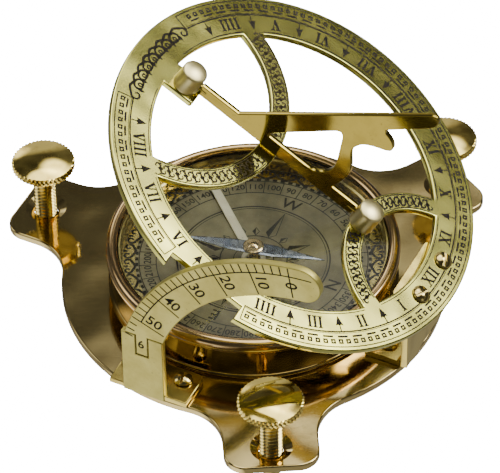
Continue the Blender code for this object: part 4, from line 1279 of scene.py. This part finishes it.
arc_band = piece(plate([band_outline()], -ARC_T / 2, ARC_T / 2, edge=0.25, steps=3), "arc_band",
                 "arc", ARC_BRASS, LATITUDE, ["latitude_arc"])
pin_bore = turned([(0, -3.0), (PIN_R, -3.0), (PIN_R, 3.0), (0, 3.0)], 24)
carve(arc_band, pin_bore, Matrix.Translation((foot_middle, ARC_Y, PIN_Z))
      @ Matrix.Rotation(math.pi / 2, 4, "Y"), LATITUDE)
piece(band_marks(), "arc_marks", "arc", BLACK_FILL, LATITUDE)
print("latitude marks every 2 degrees, one degree is", DEGREE, "degrees of arc")


# %% [markdown]
# ## Angle foot
# The foot is bent from one strip: an upright with a slot for the arc's tongue, and a leaf that two
# screws hold to the plate. Upright and leaf are separate plates here that meet along the bend.

# %% Upright and leaf of the foot
def foot_upright():
    reach = TONGUE_HALF_W + 0.25
    low = PLATE_T - 0.1
    slot = [(foot_middle + reach, FOLD_Z), (foot_middle + reach, TONGUE_END_Z - 0.5),
            (foot_middle - reach, TONGUE_END_Z - 0.5), (foot_middle - reach, FOLD_Z)]
    return plate([[(FOOT_X[0], low), (FOOT_X[1], low), (FOOT_X[1], FOLD_Z)] + slot
                  + [(FOOT_X[0], FOLD_Z)]], -ARC_T / 2, ARC_T / 2, edge=0.25, steps=3)


def foot_leaf():
    low = PLATE_T + 0.1
    back = ARC_Y - ARC_T / 2 + 0.3
    corner = 1.6
    outline = joined([(FOOT_LEAF_X[0], back), (FOOT_LEAF_X[1], back)],
                     arc((FOOT_LEAF_X[1] - corner, FOOT_LEAF_Y - corner), corner, 0, 90, 8),
                     arc((FOOT_LEAF_X[0] + corner, FOOT_LEAF_Y - corner), corner, 90, 180, 8))
    holes = [circle(place, SCREW_HOLE_R, 24) for place in FOOT_SCREWS]
    return plate([outline] + holes, low, low + BRACKET_T, edge=0.25, steps=3)


piece(foot_upright(), "foot_upright", "base", ARC_BRASS, LATITUDE, ["arc_bracket"])
piece(foot_leaf(), "foot_leaf", "base", BRACKET_BRASS)
print("foot stands", round(FOLD_Z - PLATE_T, 1), "mm above the plate")

# %% [markdown]
# ## Round-head screws
# Small slotted screws hold the two feet and the ring's leaf. Each head is a turned dome with a sawn
# slot, and the slots point every way, as they do when a person tightens them.

# %% Slotted screws
HEAD_R = 2.6
HEAD_H = 1.5
SHANK_R = 1.25


def screw(name, body, node, place, length, turn):
    mesh = turned([(0, -length), (SHANK_R - 0.3, -length), (SHANK_R, 0.3 - length), (SHANK_R, 0),
                   (HEAD_R - 0.1, 0), (HEAD_R, 0.1), (HEAD_R, 0.35)]
                  + dome_run(HEAD_R - 0.04, 0.45, HEAD_H, 8), 48)
    made = piece(mesh, name, body, SCREW_BRASS, place, [node])
    carve(made, block((-4, -0.36, HEAD_H - 0.75), (4, 0.36, HEAD_H + 1), 0.05),
          place @ Matrix.Rotation(math.radians(turn), 4, "Z"), place)


seat = PLATE_T + 0.2 + BRACKET_T + 0.2
for number, (x, y) in enumerate(FOOT_SCREWS, 1):
    screw(f"foot_screw_head_{number}", "base", f"foot_screw_{number}",
          Matrix.Translation((x, y, seat)), 4.4, 50 * number)
for number, (x, y) in enumerate(BRACKET_SCREWS, 1):
    screw(f"bracket_screw_head_{number}", "base", f"bracket_screw_{number}",
          Matrix.Translation((x, y, seat)), 4.4, 35 * number)
for number, (x, y) in enumerate(RING_SCREWS, 1):
    screw(f"ring_screw_head_{number}", "ring", f"ring_screw_{number}",
          RING @ Matrix.Translation((x, y, RING_TOP + 0.1)), 3.0, 20 + 45 * number)
print("six slotted screws, heads", 2 * HEAD_R, "mm across")

# %% [markdown]
# ## Pieces kept as the model has them
# The hinge bracket, its pin, the ring's leaf, the arc's pin, the pivot and the screws under the drum
# already have their real shape, so they only get a finish.

# %% Finish the kept pieces
KEPT = {"hinge_bracket": BRACKET_BRASS, "ring_hinge_leaf": BRACKET_BRASS, "hinge_pin": SCREW_BRASS,
        "arc_pin": SCREW_BRASS, "needle_pivot": SCREW_BRASS, "bowl_screw_1": SCREW_BRASS,
        "bowl_screw_2": SCREW_BRASS, "bowl_screw_3": SCREW_BRASS}
for name, finish in KEPT.items():
    kept = frame["nodes"][name]
    kept.data.materials.clear()
    kept.data.materials.append(finish)
print("kept pieces:", ", ".join(KEPT))

# %% [markdown]
# ## Studio
# Polished brass shows its surroundings, so the studio is drawn into the world: a few large soft
# panels on a dim room. The panel at the back right lights the near end of the tilted ring and fades
# towards its far end. The flat plate faces a smaller panel, and the knobs also mirror one overhead.
# A pale floor lies under the screws. It is left out of the metal's reflections, where a dimmer light
# from below stands for it.

# %% Floor, panels, lights and camera
FLOOR_GLOW = 22.0
# each panel's middle as azimuth from +Y towards +X and elevation, the half angles of its core and
# of its soft edge, how fast it fades and its strength
PANELS = [(53, 47, 14.5, 19.9, 5, 8.5),
          (-14, 55, 7, 15, 2, 3.0),
          (-10, 80, 20, 24.5, 1, 3.0),
          (-34, 18, 12, 20, 1, 0.5),
          (-50, 24, 5, 12, 2, 2.0),
          (-100, 30, 8, 20, 2, 2.0),
          (110, 18, 6, 16, 2, 0.4),
          (-152, 40, 8, 18, 2, 1.0),
          (-152, -45, 14, 34, 1, 1.2)]
LOW_LIGHT = 0.25
ROOM_LIGHT = (0.03, 0.11)
CAMERA_TURN = (26.65, 43.64, -1.0)
CAMERA_TARGET = (-0.84, -0.26, 17.56)
CAMERA_REACH = 1.093
CAMERA_LENS = 283.2


def studio_floor():
    low = -STEM_BELOW - 0.02
    mesh = bmesh.new()
    bmesh.ops.create_grid(mesh, x_segments=1, y_segments=1, size=4.0)
    bmesh.ops.translate(mesh, verts=mesh.verts[:], vec=(0, 0, low * MM))
    data = bpy.data.meshes.new("studio_floor")
    mesh.to_mesh(data)
    mesh.free()
    paint = Finish("floor_paint", roughness=0.9)
    paint.set(Base_Color=(0.86, 0.86, 0.86, 1.0), Emission_Color=(1.0, 1.0, 1.0, 1.0),
              Emission_Strength=FLOOR_GLOW)
    data.materials.append(paint.material)
    floor = bpy.data.objects.new("studio_floor", data)
    bpy.context.scene.collection.objects.link(floor)
    floor.visible_glossy = False
    floor.visible_diffuse = False


def heading(azimuth, elevation):
    level = math.cos(math.radians(elevation))
    return Vector((math.sin(math.radians(azimuth)) * level,
                   math.cos(math.radians(azimuth)) * level, math.sin(math.radians(elevation))))


def studio_world():
    world = bpy.data.worlds.new("studio")
    bpy.context.scene.world = world
    world.use_nodes = True
    air = Nodes(world.node_tree)
    back = world.node_tree.nodes["Background"]
    where = air.node("ShaderNodeTexCoord")
    facing = air.node("ShaderNodeVectorMath", {"operation": "NORMALIZE"}, {0: where})
    light = air.node("ShaderNodeTexNoise", None, {"Vector": facing, "Scale": 2.2, "Detail": 2.0})
    total = light.between(0.42, 0.75) * ROOM_LIGHT[1] + ROOM_LIGHT[0]
    down = air.node("ShaderNodeVectorMath", {"operation": "DOT_PRODUCT"},
                    {0: facing, 1: (0, 0, -1)}, output=1)
    total = total + down.between(0.02, 0.5) * LOW_LIGHT
    for azimuth, elevation, core, edge, fade, strength in PANELS:
        dot = air.node("ShaderNodeVectorMath", {"operation": "DOT_PRODUCT"},
                       {0: facing, 1: tuple(heading(azimuth, elevation))}, output=1)
        rise = dot.between(math.cos(math.radians(edge)), math.cos(math.radians(core)))
        total = total + rise ** fade * strength
    air.plug(back.inputs["Strength"], total)
    back.inputs["Color"].default_value = (1.0, 0.98, 0.92, 1.0)


def studio_lamp(name, place, size, power):
    lamp = bpy.data.lights.new(name, "AREA")
    lamp.size = size
    lamp.energy = power
    made = bpy.data.objects.new(name, lamp)
    bpy.context.scene.collection.objects.link(made)
    made.location = place
    made.rotation_euler = (-Vector(place)).to_track_quat("-Z", "Y").to_euler()


def studio_camera():
    azimuth, elevation, roll = (math.radians(value) for value in CAMERA_TURN)
    target = Vector(CAMERA_TARGET) * MM
    back = Vector((math.sin(azimuth) * math.cos(elevation),
                   -math.cos(azimuth) * math.cos(elevation), math.sin(elevation)))
    right = (-back).cross(Vector((0, 0, 1))).normalized()
    up = right.cross(-back)
    side = right * math.cos(roll) + up * math.sin(roll)
    top = up * math.cos(roll) - right * math.sin(roll)
    lens = bpy.data.cameras.new("camera")
    lens.sensor_width = 36
    lens.lens = CAMERA_LENS
    lens.clip_start = 0.01
    made = bpy.data.objects.new("camera", lens)
    bpy.context.scene.collection.objects.link(made)
    turn = Matrix((side, top, back)).transposed().to_4x4()
    made.matrix_world = Matrix.Translation(target + back * CAMERA_REACH) @ turn
    bpy.context.scene.camera = made


studio_floor()
studio_world()
studio_lamp("key", heading(52, 54), 0.2, 0.5)
studio_camera()
print("studio ready with", len(PANELS), "panels")
